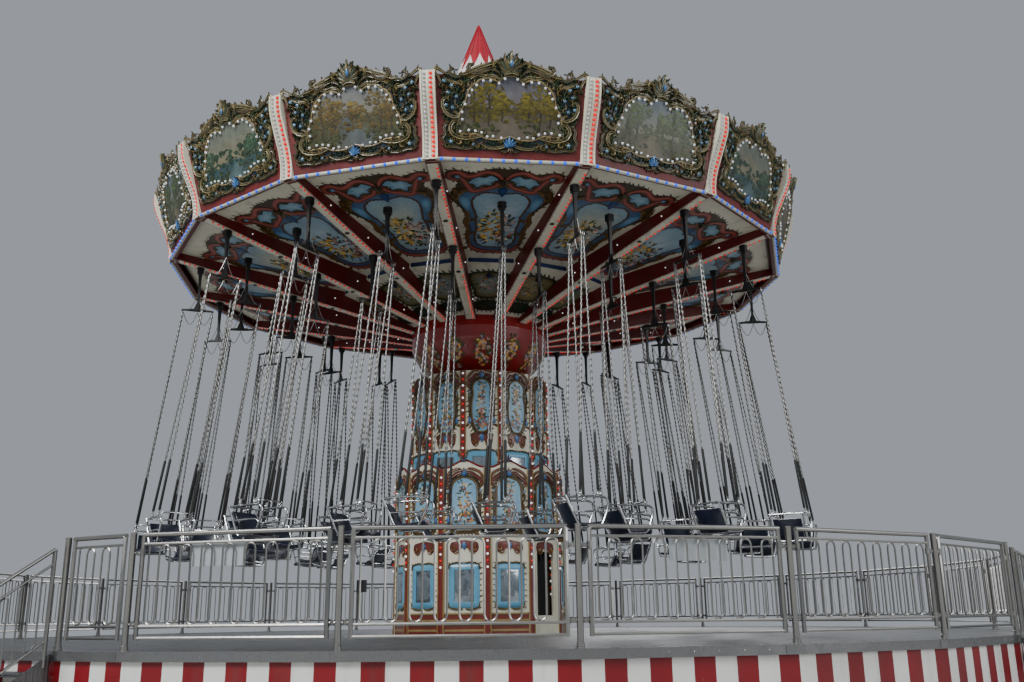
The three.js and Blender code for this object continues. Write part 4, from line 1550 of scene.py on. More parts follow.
        banks = np.stack([dice.uniform(-0.68, 0.68, 120), dice.uniform(0.29, 0.47, 120)], axis=-1)
        banks = banks[np.abs(banks[:, 0]) > 0.1 + 0.5 * (0.5 - banks[:, 1])]
        grass = np.array(linear("2c3218")) * dice.uniform(0.5, 2.4, (len(banks), 1))
        parts.append(self.strokes(dice, banks, 0.03, grass, 0.0125))
        return join(parts)

    def fitted(self, flat: Surface) -> Surface:
        """Draws a frame in from the board's edges.

        U is taken times 0.93, and times up to 0.99 over a height of 0.9, because the board widens;
        V is raised by 0.055 (1 - V / 0.6) under 0.6.
        """
        u, v, h = flat.points.T
        wider = 0.93 + 0.06 * np.clip((v - 0.9) / 0.15, 0, 1) * np.clip(np.abs(u) / 0.5 - 1, 0, 1)
        return replace(
            flat, points=np.stack([wider * u, v + np.clip(0.055 * (1 - v / 0.6), 0, None), h], axis=-1)
        )

    def curls(self) -> Surface:
        """Carves small hooked leaves all over the right half of the band between the view and the edge.

        A leaf stands a share of the way from the view's outline to the frame's at the same place
        along both; places and shares are spread evenly and then moved by chance.

        Returns:
            The leaves.
        """
        dice = np.random.default_rng(12)
        count = 240
        inner, outer = halves(self.view, 400), halves(self.shoulder, 400)
        place = (np.arange(count) * 0.618034 % 1 * 400).astype(int)
        share = dice.uniform(0.08, 0.92, count)[:, None]
        spots = inner[place] * (1 - share) + outer[place] * share
        spots = spots[spots[:, 0] > 0.02]
        t = np.linspace(0, 1, 6)
        path = (0.5 - 0.34 * t)[:, None] * np.stack([np.cos(4.6 * t), np.sin(4.6 * t)], axis=-1)
        # The hook's edges are 0.28 of its crown's tone: painted shade on its sides.
        hook = ribbon(path, taper(6, 0.2, 0.35), 0.34, (0.28, 0.28, 0.28), WHITE)
        palette = np.array(
            [linear("9c8a60"), linear("6f5c38"), linear("46573f"), linear("5b5a3a"), linear("35533f")]
        )
        tones = palette[dice.integers(0, 5, len(spots))] * dice.uniform(0.8, 1.25, (len(spots), 1))
        spin = dice.uniform(0, 2 * np.pi, len(spots))
        return scattered(hook, spots, dice.uniform(0.055, 0.1, len(spots)), tones, 0.008, spin, 1.15)

    def carving(self) -> Surface:
        """Carves the right half of a frame: scrolls, leaf tips, a shell at the foot and a crest."""
        bronze = linear("66543a")
        pale = linear("8f7f58")
        strokes = [
            (
                [
                    (0.67, 0.43), (0.71, 0.48), (0.78, 0.47), (0.82, 0.38), (0.76, 0.285), (0.62, 0.25),
                    (0.47, 0.27), (0.36, 0.31)
                ],
                0.036, pale
            ),
            (
                [
                    (0.9, 0.17), (0.86, 0.12), (0.76, 0.135), (0.65, 0.11), (0.54, 0.12), (0.44, 0.165),
                    (0.37, 0.22)
                ],
                0.026, bronze
            ),
            (
                [
                    (0.4, 0.19), (0.31, 0.135), (0.2, 0.13), (0.1, 0.15), (0.05, 0.2), (0.1, 0.24),
                    (0.13, 0.21)
                ],
                0.026, pale
            ),
            (
                [
                    (0.78, 0.62), (0.71, 0.585), (0.73, 0.54), (0.82, 0.55), (0.9, 0.62), (0.93, 0.73),
                    (0.88, 0.79), (0.84, 0.75)
                ],
                0.032, pale
            ),
            (
                [(0.9, 0.52), (0.85, 0.47), (0.9, 0.4), (0.88, 0.31), (0.92, 0.24), (0.88, 0.18)], 0.026,
                bronze
            ),
            ([(0.69, 0.6), (0.68, 0.7), (0.61, 0.78), (0.6, 0.88), (0.53, 0.96)], 0.02, bronze),
            ([(0.7, 1.085), (0.6, 1.1), (0.5, 1.16), (0.39, 1.2), (0.28, 1.235), (0.17, 1.28)], 0.034, pale),
            (
                [
                    (0.51, 1.2), (0.56, 1.22), (0.58, 1.15), (0.49, 1.11), (0.38, 1.14), (0.26, 1.17),
                    (0.16, 1.12)
                ],
                0.036, bronze
            ),
            (
                [
                    (0.59, 0.93), (0.57, 1.02), (0.47, 1.09), (0.36, 1.07), (0.24, 1.085), (0.16, 1.04),
                    (0.2, 1.0)
                ],
                0.028, pale
            ),
            (
                [(0.58, 1.1), (0.66, 1.06), (0.75, 1.06), (0.81, 1.1), (0.79, 1.16), (0.75, 1.14)], 0.028,
                bronze
            ),
            (
                [(0.84, 1.08), (0.9, 1.12), (0.97, 1.16), (0.98, 1.09), (0.94, 1.05), (0.93, 0.96)], 0.026,
                pale
            ),
            ([(0.6, 1.0), (0.7, 0.97), (0.8, 0.99), (0.88, 1.03)], 0.022, pale),
            ([(0.93, 0.96), (0.87, 0.88), (0.93, 0.82)], 0.018, bronze),
            ([(0.7, 0.66), (0.76, 0.72), (0.74, 0.82), (0.8, 0.9), (0.86, 0.93)], 0.016, bronze),
            ([(0.16, 1.12), (0.23, 1.17), (0.24, 1.24), (0.18, 1.26), (0.15, 1.21)], 0.026, pale),
            ([(0.02, 1.1), (0.1, 1.16), (0.12, 1.25), (0.07, 1.32), (0.04, 1.28)], 0.026, bronze),
            ([(0.0, 0.13), (0.06, 0.09), (0.12, 0.1)], 0.02, bronze),
            ([(0.57, 0.2), (0.66, 0.19), (0.72, 0.22)], 0.016, bronze),
        ]
        parts = []
        for number, (points, width, ridge) in enumerate(strokes):
            parts.append(carved(points, width, 0.95 * width, 0.4, ridge, lift=0.006 + 0.0015 * (number % 4)))
            path = smooth(points, 24, closed=False)
            parts.append(
                fringe(path, 5, 2.3 * width, MOSS if number % 2 else bronze, 0.75, False, 0.008, 0.3)
            )
            parts.append(
                fringe(path, 4, 2.1 * width, bronze if number % 2 else MOSS, -0.75, False, 0.008, 0.3)
            )
        flowers = np.array(
            [
                (0.885, 0.99), (0.8, 0.94), (0.85, 0.845), (0.74, 0.8), (0.88, 0.69), (0.79, 0.66),
                (0.5, 0.17), (0.8, 0.2)
            ]
        )
        petals = np.outer(0.8 + 0.3 * np.sin(np.arange(len(flowers)) * 2.0), linear("587fa6"))
        sizes = 0.036 + 0.006 * np.sin(np.arange(len(flowers)) * 3.1)
        parts.append(scattered(flower(5, 0.5), flowers, sizes, petals, 0.022, np.arange(len(flowers)) * 1.3))
        tips = np.array(
            [(0.8, 0.96), (0.75, 0.86), (0.9, 0.8), (0.82, 0.72), (0.7, 0.75), (0.66, 0.86), (0.9, 0.9)]
        )
        parts.append(
            scattered(
                leaf(2, 0.3, 4), tips, np.full(len(tips), 0.1), np.tile(MOSS, (len(tips), 1)), 0.01,
                np.arange(len(tips)) * 2.1
            )
        )
        return join(parts)

    def middle_ornament(self) -> Surface:
        """Carves what stands on the middle line: the shell at the foot and the finial at the top."""
        bronze, pale, blue = linear("5d5230"), linear("8d8257"), linear("2f63a0")
        return join(
            [
                fan_of_leaves((0, 0.15), 0.16, 7, 2.6, [blue, linear("4a80b8")], 0.03),
                fan_of_leaves((0, 0.135), 0.085, 5, 2.9, [bronze], 0.03, -math.pi / 2),
                fan_of_leaves((0, 1.12), 0.3, 9, 2.7, [MOSS, bronze], 0.02),
                fan_of_leaves((0.01, 1.2), 0.215, 5, 1.3, [pale, MOSS], 0.045),
                painted_field(
                    halves([(0, 1.19), (0.028, 1.235), (0, 1.29)], 12), BLUE, MID_BLUE, 0.075, 0.012
                ),
                carved([(-0.1, 1.1), (0, 1.13), (0.1, 1.1)], 0.03, 0.03, 0.5, pale, lift=0.04),
            ]
        )

    def rim(self) -> Surface:
        """Carves the narrow edge round the view."""
        outline = halves(self.view, 60)
        return ribbon(outline, 0.016, 0.018, linear("4a3c22"), linear("a08d62"), 0.01, True)

    def moulding(self) -> Surface:
        """Gives the pale strip under a board: a half-round rail with small blocks."""
        path = np.array([(-0.93, 0.018, 0.012), (0.93, 0.018, 0.012)])
        rail = tube(path, 0.026, 8, linear("b9b7ab"))
        spots = along_line((-0.895, 0.018, 0.03), (0.895, 0.018, 0.03), 25)
        blocks = copies(
            dab(4).tinted(linear("8f8f8a")), np.broadcast_to(np.diag([0.018, 0.013, 0.3]), (25, 3, 3)),
            spots
        )
        return join([rail, blocks])

    def rib_path(self, out: float) -> np.ndarray:
        """Gives the rib's face line in the corner's frame, raised by a length."""
        line = [(CROWN_RADIUS + x, self.foot + self.rib_height * s) for x, s in self.rib_profile]
        face = smooth(line, 24, closed=False)
        ahead = directions(face)
        normal = np.stack([ahead[:, 1], -ahead[:, 0]], axis=-1)
        return face + out * normal

    def rib_trim(self) -> Surface:
        """Gives the rib's raised cream face with a beaded edge at both sides."""
        face = self.rib_path(0.006)
        parts = []
        strips = (
            (-0.094, 0.094, 0.002, 0.085), (-0.095, -0.072, 0.014, 0.01), (-0.014, 0.014, 0.009, 0.01),
            (0.072, 0.095, 0.014, 0.01)
        )
        for low, high, rise, deep in strips:
            columns = np.array([(low, -deep), (low, rise), (high, rise), (high, -deep)])
            ahead = directions(face)
            normal = np.stack([ahead[:, 1], -ahead[:, 0]], axis=-1)
            flat = face[:, None] + columns[None, :, 1:] * normal[:, None]
            points = np.stack(
                [flat[..., 0], np.broadcast_to(columns[:, 0], flat.shape[:2]), flat[..., 1]], axis=-1
            )
            parts.append(loft(points, linear("dad8cf")))
        return join(parts)

    def rib_lamps(self, along: float, count: int, radius: float) -> Surface:
        """Sets lamps up the rib's face, evenly spaced along it, at a distance along the turning."""
        face = self.rib_path(0.007)
        run = np.concatenate([[0], np.cumsum(np.linalg.norm(np.diff(face, axis=0), axis=1))])
        place = np.linspace(0.04, 0.96, count) * run[-1]
        ahead = unit(np.stack([np.interp(place, run, column) for column in directions(face).T], axis=-1))
        at = np.stack([np.interp(place, run, column) for column in face.T], axis=-1)
        turns = np.zeros((count, 3, 3))
        turns[:, 1, 0] = 1
        turns[:, 0, 1], turns[:, 2, 1] = ahead.T
        turns[:, 0, 2], turns[:, 2, 2] = ahead[:, 1], -ahead[:, 0]
        spots = np.stack([at[:, 0], np.full(count, along), at[:, 1]], axis=-1)
        return copies(bead(radius, radius * 1.2), turns, spots)

    def build(self) -> None:
        """Builds and dresses the boards."""
        dress(MAROON_PAINT, *numbered("rounding_boards", 4))
        views = [
            self.place(self.fitted(join([self.view_field(k), self.grove(k)])), BAY_BEARINGS[k::4])
            for k in range(4)
        ]
        lay(
            "board_views", join([self.place(self.fitted(self.ground()), BAY_BEARINGS), *views]), PAINTED,
            Body.CROWN
        )
        carving = self.fitted(join([self.carving().both(), self.middle_ornament(), self.rim()]))
        lay("board_carving_front", self.place(carving, BAY_BEARINGS[:8]), CARVED, Body.CROWN, 110)
        lay("board_carving_back", self.place(carving, BAY_BEARINGS[8:]), CARVED, Body.CROWN, 110)
        lay(
            "board_curls", self.place(self.fitted(self.curls().both()), BAY_BEARINGS), CARVED, Body.CROWN,
            110
        )
        half = np.array(self.pearls)
        spots = np.vstack([half, half * (-1, 1)])
        pearls = self.fitted(
            rows_of(bead(0.019, 0.024), np.column_stack([spots, np.full(len(spots), 0.028)]))
        )
        lay("board_lamps", self.place(pearls, BAY_BEARINGS), PEARL_LAMP, Body.CROWN, 110)
        lay("board_mouldings", self.place(self.moulding(), BAY_BEARINGS), CARVED, Body.CROWN, 60)
        gems = rows_of(bead(0.026, 0.026), along_line((-0.86, 0.018, 0.03), (0.86, 0.018, 0.03), 12))
        lay("moulding_lamps", self.place(gems, BAY_BEARINGS), BLUE_LAMP, Body.CROWN, 110)
        lay("board_ribs", around(self.rib_trim(), CORNER_BEARINGS), CREAM_PAINT, Body.CROWN, 50)
        lay(
            "rib_lamps_red", around(self.rib_lamps(0.042, 18, 0.025), CORNER_BEARINGS), RED_LAMP,
            Body.CROWN, 110
        )
        lay(
            "rib_lamps_clear", around(self.rib_lamps(-0.042, 20, 0.023), CORNER_BEARINGS),
            CLEAR_LAMP, Body.CROWN, 110
        )


# The crown's underside


FLOWER_TONES = (linear("b98f8f"), linear("c2a24a"), linear("a9a4b8"), linear("b8bdc0"), linear("9c4a50"))


@dataclass
class Soffit:
    """Painted ceiling between the sweeps, with one step, and the dark edge at its rim."""

    outer: tuple[float, float] = (6.032, 0.16)
    inner: tuple[float, float] = (5.413, 0.397)
    start: float = 1.1453
    step: float = 2.31
    end: float = 4.925
    sheet: float = 0.03
    crest: tuple = (
        (0, 2.47), (0.2, 2.5), (0.34, 2.58), (0.4, 2.74), (0.43, 2.95), (0.41, 3.12), (0.46, 3.28),
        (0.44, 3.45), (0.5, 3.62), (0.62, 3.8), (0.72, 3.98), (0.66, 4.14), (0.62, 4.3), (0.76, 4.42),
        (0.79, 4.55), (0.66, 4.6), (0.5, 4.56), (0.38, 4.54), (0.26, 4.62), (0.12, 4.66), (0, 4.64),
    )
    border: tuple = (
        (0, 2.56), (0.2, 2.58), (0.31, 2.66), (0.37, 2.85), (0.37, 3.1), (0.41, 3.3), (0.4, 3.45),
        (0.46, 3.66), (0.56, 3.84), (0.6, 3.96), (0.5, 4.1), (0.38, 4.2), (0.2, 4.22), (0, 4.2),
    )
    shield: tuple = (
        (0, 2.66), (0.16, 2.67), (0.26, 2.76), (0.3, 2.95), (0.28, 3.15), (0.31, 3.35), (0.31, 3.5),
        (0.37, 3.7), (0.4, 3.88), (0.34, 4.02), (0.2, 4.1), (0, 4.06),
    )
    small: tuple = (
        (0, 1.51), (0.1, 1.52), (0.2, 1.58), (0.22, 1.7), (0.28, 1.82), (0.33, 1.95), (0.33, 2.06),
        (0.24, 2.11), (0.1, 2.13), (0, 2.15),
    )

    def lowered(self, flat: Surface, part: tuple[float, float]) -> Surface:
        """Takes a flat drawing to the outer or the inner ceiling of the bay."""
        return flat.moved(*ceiling_place(*part))

    def sheets(self) -> Surface:
        """Gives one bay's sheet: sections across the bay at each distance from the axis."""
        (foot_out, slope_out), (foot_in, slope_in) = self.outer, self.inner
        stations = [
            (self.start, foot_in + slope_in * self.start),
            (self.step, foot_in + slope_in * self.step),
            (self.step + 0.0005, foot_out + slope_out * self.step),
            (self.end, foot_out + slope_out * self.end),
        ]
        spread = math.tan(HALF_SIDE)
        sections = [
            [
                (d, -d * spread, z), (d, d * spread, z), (d, d * spread, z + self.sheet),
                (d, -d * spread, z + self.sheet)
            ]
            for d, z in stations
        ]
        return loft(np.array(sections), IVORY)

    def shade_band(
        self, points: Sequence[Sequence[float]], width: float, colour: Sequence[float], lift: float,
        closed: bool = False, count: int = 30
    ) -> Surface:
        """Paints a band along a smooth line, with painted shade darkening both edges."""
        path = smooth(points, count, closed)
        return ribbon(
            path, width if closed else taper(count, width, 0.45), 0.0015, np.array(colour) * 0.25, colour,
            lift, closed
        )

    def cartouche(self, seed: int) -> Surface:
        """Paints the large cartouche: leafy silhouette, border, shield, crest with two pockets, flowers."""
        brown, blue, gilt = linear("6b542e"), linear("34557c"), linear("9a7a44")
        ground = [linear("bccbd0"), linear("d3c9a4"), linear("b5c7ce"), linear("c6c8b2")][seed % 4]
        silhouette, border, shield = halves(self.crest, 80), halves(self.border, 48), halves(self.shield, 44)
        parts = [
            painted_field(silhouette, linear("3a2e1c"), brown, 0.0012),
            fringe(silhouette, 64, 0.062, linear("4a4628"), 0.8, True, 0.001, 0.02),
            painted_field(border, blue, linear("86a8bb"), 0.0026),
            ribbon(border, 0.013, 0.001, linear("2a1c12"), gilt, 0.003, True),
            fringe(border, 30, 0.06, gilt, 0.9, True, 0.0034, 0.02),
            painted_field(shield, linear("7fa0b4"), ground, 0.004),
            ribbon(shield, 0.016, 0.001, linear("2a1c12"), linear("6a4724"), 0.0052, True),
            fringe(shield, 26, 0.045, linear("5a3c20"), -0.8, True, 0.0048, 0.02),
        ]
        side = []
        side.append(
            painted_field(
                smooth([(0.44, 3.62), (0.56, 3.82), (0.57, 3.98), (0.46, 3.96), (0.4, 3.8)], 16),
                linear("3d6f96"), linear("7fadca"), 0.005
            )
        )
        pocket = smooth(
            [
                (0.07, 4.4), (0.16, 4.35), (0.16, 4.27), (0.27, 4.27), (0.36, 4.2), (0.41, 4.28),
                (0.5, 4.31), (0.43, 4.38), (0.4, 4.47), (0.27, 4.45), (0.18, 4.5)
            ],
            40
        )
        side.append(painted_field(pocket, linear("57829c"), linear("9ab8c4"), 0.006))
        side.append(ribbon(pocket, 0.009, 0.001, linear("1d1a14"), linear("35281a"), 0.0064, True))
        dots = np.stack(
            [0.29 + 0.14 * np.cos(np.arange(9) * 2.4), 4.36 + 0.07 * np.sin(np.arange(9) * 2.4)], axis=-1
        )
        side.append(
            scattered(flower(4, 0.05), dots, np.full(9, 0.021), np.tile(linear("6a8aa8"), (9, 1)), 0.0068)
        )
        red = linear("a8564a")
        side.append(
            self.shade_band(
                [
                    (0.0, 4.36), (0.1, 4.52), (0.26, 4.57), (0.4, 4.48), (0.5, 4.46), (0.63, 4.54),
                    (0.74, 4.5), (0.73, 4.4), (0.62, 4.37)
                ],
                0.055, red, 0.0066
            )
        )
        side.append(
            self.shade_band(
                [
                    (0.04, 4.38), (0.12, 4.24), (0.26, 4.17), (0.4, 4.12), (0.47, 4.22), (0.54, 4.36),
                    (0.6, 4.44)
                ],
                0.05, red, 0.0074
            )
        )
        side.append(
            self.shade_band(
                [(0.5, 3.62), (0.44, 3.5), (0.46, 3.34), (0.4, 3.16), (0.41, 2.96), (0.37, 2.78)], 0.032,
                linear("7a5628"), 0.006
            )
        )
        side.append(
            self.shade_band([(0.0, 2.52), (0.14, 2.53), (0.28, 2.6), (0.36, 2.72)], 0.055, red, 0.0072)
        )
        tips = np.array([(0.62, 3.9), (0.66, 4.02), (0.6, 4.1), (0.4, 3.36), (0.38, 3.02), (0.36, 2.66)])
        lengths = np.array([0.2, 0.18, 0.17, 0.13, 0.13, 0.16])
        spin = np.array([0.7, 1.5, 2.6, 2.2, 2.4, -0.9])
        tones = np.tile(linear("6a5023"), (6, 1))
        side.append(scattered(leaf(2, 0.04, 5), tips, lengths, tones, 0.0085, spin))
        side.append(
            painted_field(
                smooth([(0.6, 4.42), (0.65, 4.42), (0.66, 4.47), (0.61, 4.47)], 10), MID_BLUE, SKY, 0.009
            )
        )
        parts.append(join(side).both())
        drop = halves([(0, 4.0), (0.05, 4.1), (0.06, 4.18), (0, 4.24)], 16)
        parts.append(painted_field(drop, linear("182a4e"), BLUE, 0.0092))
        parts.append(fan_of_leaves((0, 4.3), 0.16, 5, 1.9, [linear("4d3a22"), MOSS], 0.009))
        dice = np.random.default_rng(900 + seed)
        flecks = np.stack([dice.uniform(-0.26, 0.26, 110), dice.uniform(3.1, 4.0, 110)], axis=-1)
        tones = np.array(linear("63808f")) * dice.uniform(0.4, 1.6, (110, 1))
        parts.append(
            scattered(
                dab(4), flecks, dice.uniform(0.007, 0.014, 110), tones, 0.0052, flecks[:, 0] * 20, 0.4
            )
        )
        parts.append(
            bouquet(
                (0, 2.92), (0.23, 0.2), 16, seed + 7, 0.0062, 0.034,
                [linear("6b4a2c"), linear("8a5a48"), linear("9a7a62")], linear("3a3a22")
            )
        )
        parts.append(
            bouquet(
                (-0.09, 3.24), (0.16, 0.4), 40, seed, 0.0085, 0.042,
                [linear("dcbc54"), linear("e6d288"), linear("c89c48")], linear("5f6b3a")
            )
        )
        parts.append(
            bouquet(
                (0.13, 3.18), (0.13, 0.38), 34, seed + 3, 0.0105, 0.038,
                [linear("d8b0aa"), linear("a8564e"), linear("7494c4"), linear("e4dcd2")], linear("4c5a3e")
            )
        )
        return join(parts)

    def lesser(self, seed: int) -> Surface:
        """Paints the small cartouche and the dark oval nearer the axis."""
        ground = [linear("7f9aa0"), linear("a09a74"), linear("829a94")][seed % 3]
        outline = halves(self.small, 40)
        oval = halves([(0, 1.24), (0.12, 1.25), (0.19, 1.32), (0.2, 1.42), (0.12, 1.48), (0, 1.5)], 24)
        parts = [
            painted_field(outline, linear("23321f"), linear("3b4630"), 0.0012),
            fringe(outline, 26, 0.075, linear("2d3820"), 0.8, True, 0.001, 0.02),
            painted_field(
                0.84 * (outline - outline.mean(axis=0)) + outline.mean(axis=0), linear("6d6038"), ground,
                0.0028
            ),
            fringe(outline * (0.84, 1), 26, 0.045, linear("57512c"), -0.9, True, 0.0032, 0.02),
            bouquet((0, 1.84), (0.17, 0.17), 22, 60 + seed, 0.0045, 0.03, FLOWER_TONES),
            painted_field(oval, linear("15251c"), linear("24402f"), 0.0014),
            fringe(oval, 18, 0.06, linear("22301c"), 1.0, True, 0.0012, 0.02),
            bouquet(
                (0, 1.37), (0.13, 0.08), 7, 80 + seed, 0.003, 0.024,
                [linear("4f2e22"), linear("2f4f78"), linear("5a4a28")], linear("20381f")
            ),
            fan_of_leaves((0, 2.0), 0.12, 5, 2.0, [linear("24407a"), linear("3c2a18")], 0.0052),
        ]
        return join(parts)

    def riser(self) -> Surface:
        """Gives the blue bar on the step, with a gilt tip at both ends."""
        bar = np.array(
            [(-0.34, 0.006), (0.34, 0.006), (0.355, 0.04), (0.34, 0.074), (-0.34, 0.074), (-0.355, 0.04)]
        )
        tips = np.array([(0.36, 0.036), (0.37, 0.02), (0.37, 0.052)])
        side = scattered(
            leaf(1, 0.06, 5), tips, np.array([0.1, 0.07, 0.07]), np.tile(linear("6e5a34"), (3, 1)), 0.004,
            np.array([0.0, -0.5, 0.5])
        )
        flat = join([painted_field(bar, linear("14224a"), linear("1d356e"), 0.002), side.both()])
        foot = self.inner[0] + self.inner[1] * self.step
        return flat.moved(*panel_place(self.step + 0.0006, foot))

    def edge_line(self) -> Surface:
        """Gives the dark-red moulding along the rim, under the boards."""
        d = self.end - 0.022
        half = d * math.tan(HALF_SIDE)
        rail = tube(np.array([(-half, d, 0.004), (half, d, 0.004)]), 0.016, 6, DARK_RED)
        return self.lowered(rail, self.outer)

    def build(self) -> None:
        """Builds and dresses the ceiling."""
        sheets = lay("ceiling_sheets", around(self.sheets(), BAY_BEARINGS), IVORY_PAINT, Body.CROWN, 20)
        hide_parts(*numbered("ceiling", 8))
        for number in range(2):
            bays = [
                around(
                    join(
                        [
                            self.lowered(self.cartouche(k), self.outer),
                            self.lowered(self.lesser(k), self.inner)
                        ]
                    ),
                    BAY_BEARINGS[k + 8 * number :: 4][:2]
                )
                for k in range(4)
            ]
            lay(f"ceiling_paintings_{number + 1}", join(bays), PAINTED, Body.CROWN, 60)
        lay(
            "ceiling_trim", around(join([self.riser(), self.edge_line()]), BAY_BEARINGS), PAINTED,
            Body.CROWN, 60
        )


@dataclass
class Sweeps:
    """Radial beams with a cream underside between dark-red cheeks and their rows of lamps."""

    half: float = 0.085
    under: tuple = ((1.1453, 5.788), (2.355, 6.088), (4.99, 6.700))
    tip: float = 5.055
    heads: tuple[float, float] = (4.646, 3.167)
    bosses: tuple[float, float] = (3.789, 2.525)

    def level(self, reach: np.ndarray | float) -> np.ndarray:
        """Gives the underside's height at a distance: straight between its three points."""
        return np.interp(reach, *np.array(self.under).T)

    def top(self, reach: np.ndarray) -> np.ndarray:
        """Gives the top's height, just under the ceiling at that distance."""
        (foot_out, slope_out), (foot_in, slope_in) = Soffit.outer, Soffit.inner
        d = reach * math.cos(HALF_SIDE)
        return np.where(d < Soffit.step - 0.001, foot_in + slope_in * d, foot_out + slope_out * d) - 0.002

    def beam(self) -> Surface:
        """Gives the dark-red beam, section after section along its length."""
        step = Soffit.step / math.cos(HALF_SIDE)
        reach = np.array([1.1453, step - 0.001, step, 2.356, 4.99, self.tip])
        low, high = self.level(reach), self.top(reach)
        h = self.half
        sections = np.array(
            [[(r, -h, a), (r, h, a), (r, h, b), (r, -h, b)] for r, a, b in zip(reach, low, high)]
        )
        return loft(sections, DARK_RED)

    def soffit_strip(self) -> Surface:
        """Gives the cream strip under the beam, with a fine dark line near each edge."""
        reach = np.array([1.16, 2.353, 4.985])
        low = self.level(reach)
        parts = []
        for y, wide, drop, tone in (
            (0, 0.078, 0.004, CREAM), (-0.07, 0.003, 0.0052, DARK_RED), (0.07, 0.003, 0.0052, DARK_RED)
        ):
            sections = [
                [
                    (r, y - wide, a - drop), (r, y + wide, a - drop), (r, y + wide, a + 0.002),
                    (r, y - wide, a + 0.002)
                ]
                for r, a in zip(reach, low)
            ]
            parts.append(loft(np.array(sections), tone))
        return join(parts)

    def row(self, start: float, end: float, pitch: float, y: float, radius: float) -> Surface:
        """Sets a row of lamps along the underside, clear of the hanger heads and the caps."""
        reach = np.arange(start, end, pitch)
        away = np.abs(reach[:, None] - np.array([*self.heads, *self.bosses]))
        reach = reach[np.all(away > np.array([0.085, 0.085, 0.05, 0.05]), axis=1)]
        down = np.broadcast_to(np.diag([1.0, -1.0, -1.0]), (len(reach), 3, 3))
        spots = np.stack([reach, np.full(len(reach), y), self.level(reach) - 0.004], axis=-1)
        return copies(bead(radius, radius * 1.3), down, spots)

    def side_lamps(self) -> Surface:
        """Sets four small lamps on each cheek."""
        reach = np.array([1.62, 2.5, 3.42, 4.3])
        spots = np.stack([reach, np.full(4, self.half), (self.level(reach) + self.top(reach)) / 2], axis=-1)
        turn = np.array([[1, 0, 0], [0, 0, 1], [0, -1, 0]], float)
        one = copies(bead(0.011, 0.014), np.broadcast_to(turn, (4, 3, 3)), spots)
        turned = Surface(one.points * (1, -1, 1), one.quads[:, ::-1], one.tris[:, ::-1], one.tints)
        return join([one, turned])

    def caps(self) -> Surface:
        """Gives the two black caps on the underside: short turned bosses with a ring."""
        profile = np.array([(0.034, -0.012), (0.034, -0.003), (0.022, 0.0), (0.02, 0.004)])
        boss = turned_shape(np.array([(0.008, -0.014), *profile]), 10)
        reach = np.array(self.bosses)
        spots = np.stack([reach, np.full(2, -0.01), self.level(reach) - 0.006], axis=-1)
        return copies(boss, np.broadcast_to(np.eye(3), (2, 3, 3)), spots)

    def build(self) -> None:
        """Builds and dresses the sweeps."""
        beams = lay(
            "sweep_beams", around(join([self.beam(), self.soffit_strip()]), CORNER_BEARINGS), SWEEP_PAINT,
            Body.CROWN, 30
        )
        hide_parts(*[f"sweep_{i + 1:02d}" for i in range(SIDES)])
        red = join([self.row(1.22, 2.3, 0.066, 0.05, 0.0155), self.row(2.4, 4.95, 0.078, 0.05, 0.0175)])
        lay("sweep_lamps_red", around(red, CORNER_BEARINGS), RED_LAMP, Body.CROWN, 110)
        lay(
            "sweep_lamps_clear", around(self.row(1.25, 4.95, 0.09, -0.055, 0.012), CORNER_BEARINGS),
            CLEAR_LAMP, Body.CROWN, 110
        )
        lay("sweep_lamps_white", around(self.side_lamps(), CORNER_BEARINGS), WHITE_LAMP, Body.CROWN, 110)
        lay("sweep_caps", around(self.caps(), CORNER_BEARINGS), BLACK_STEEL, Body.CROWN, 40)


# Hangers, chains and chairs


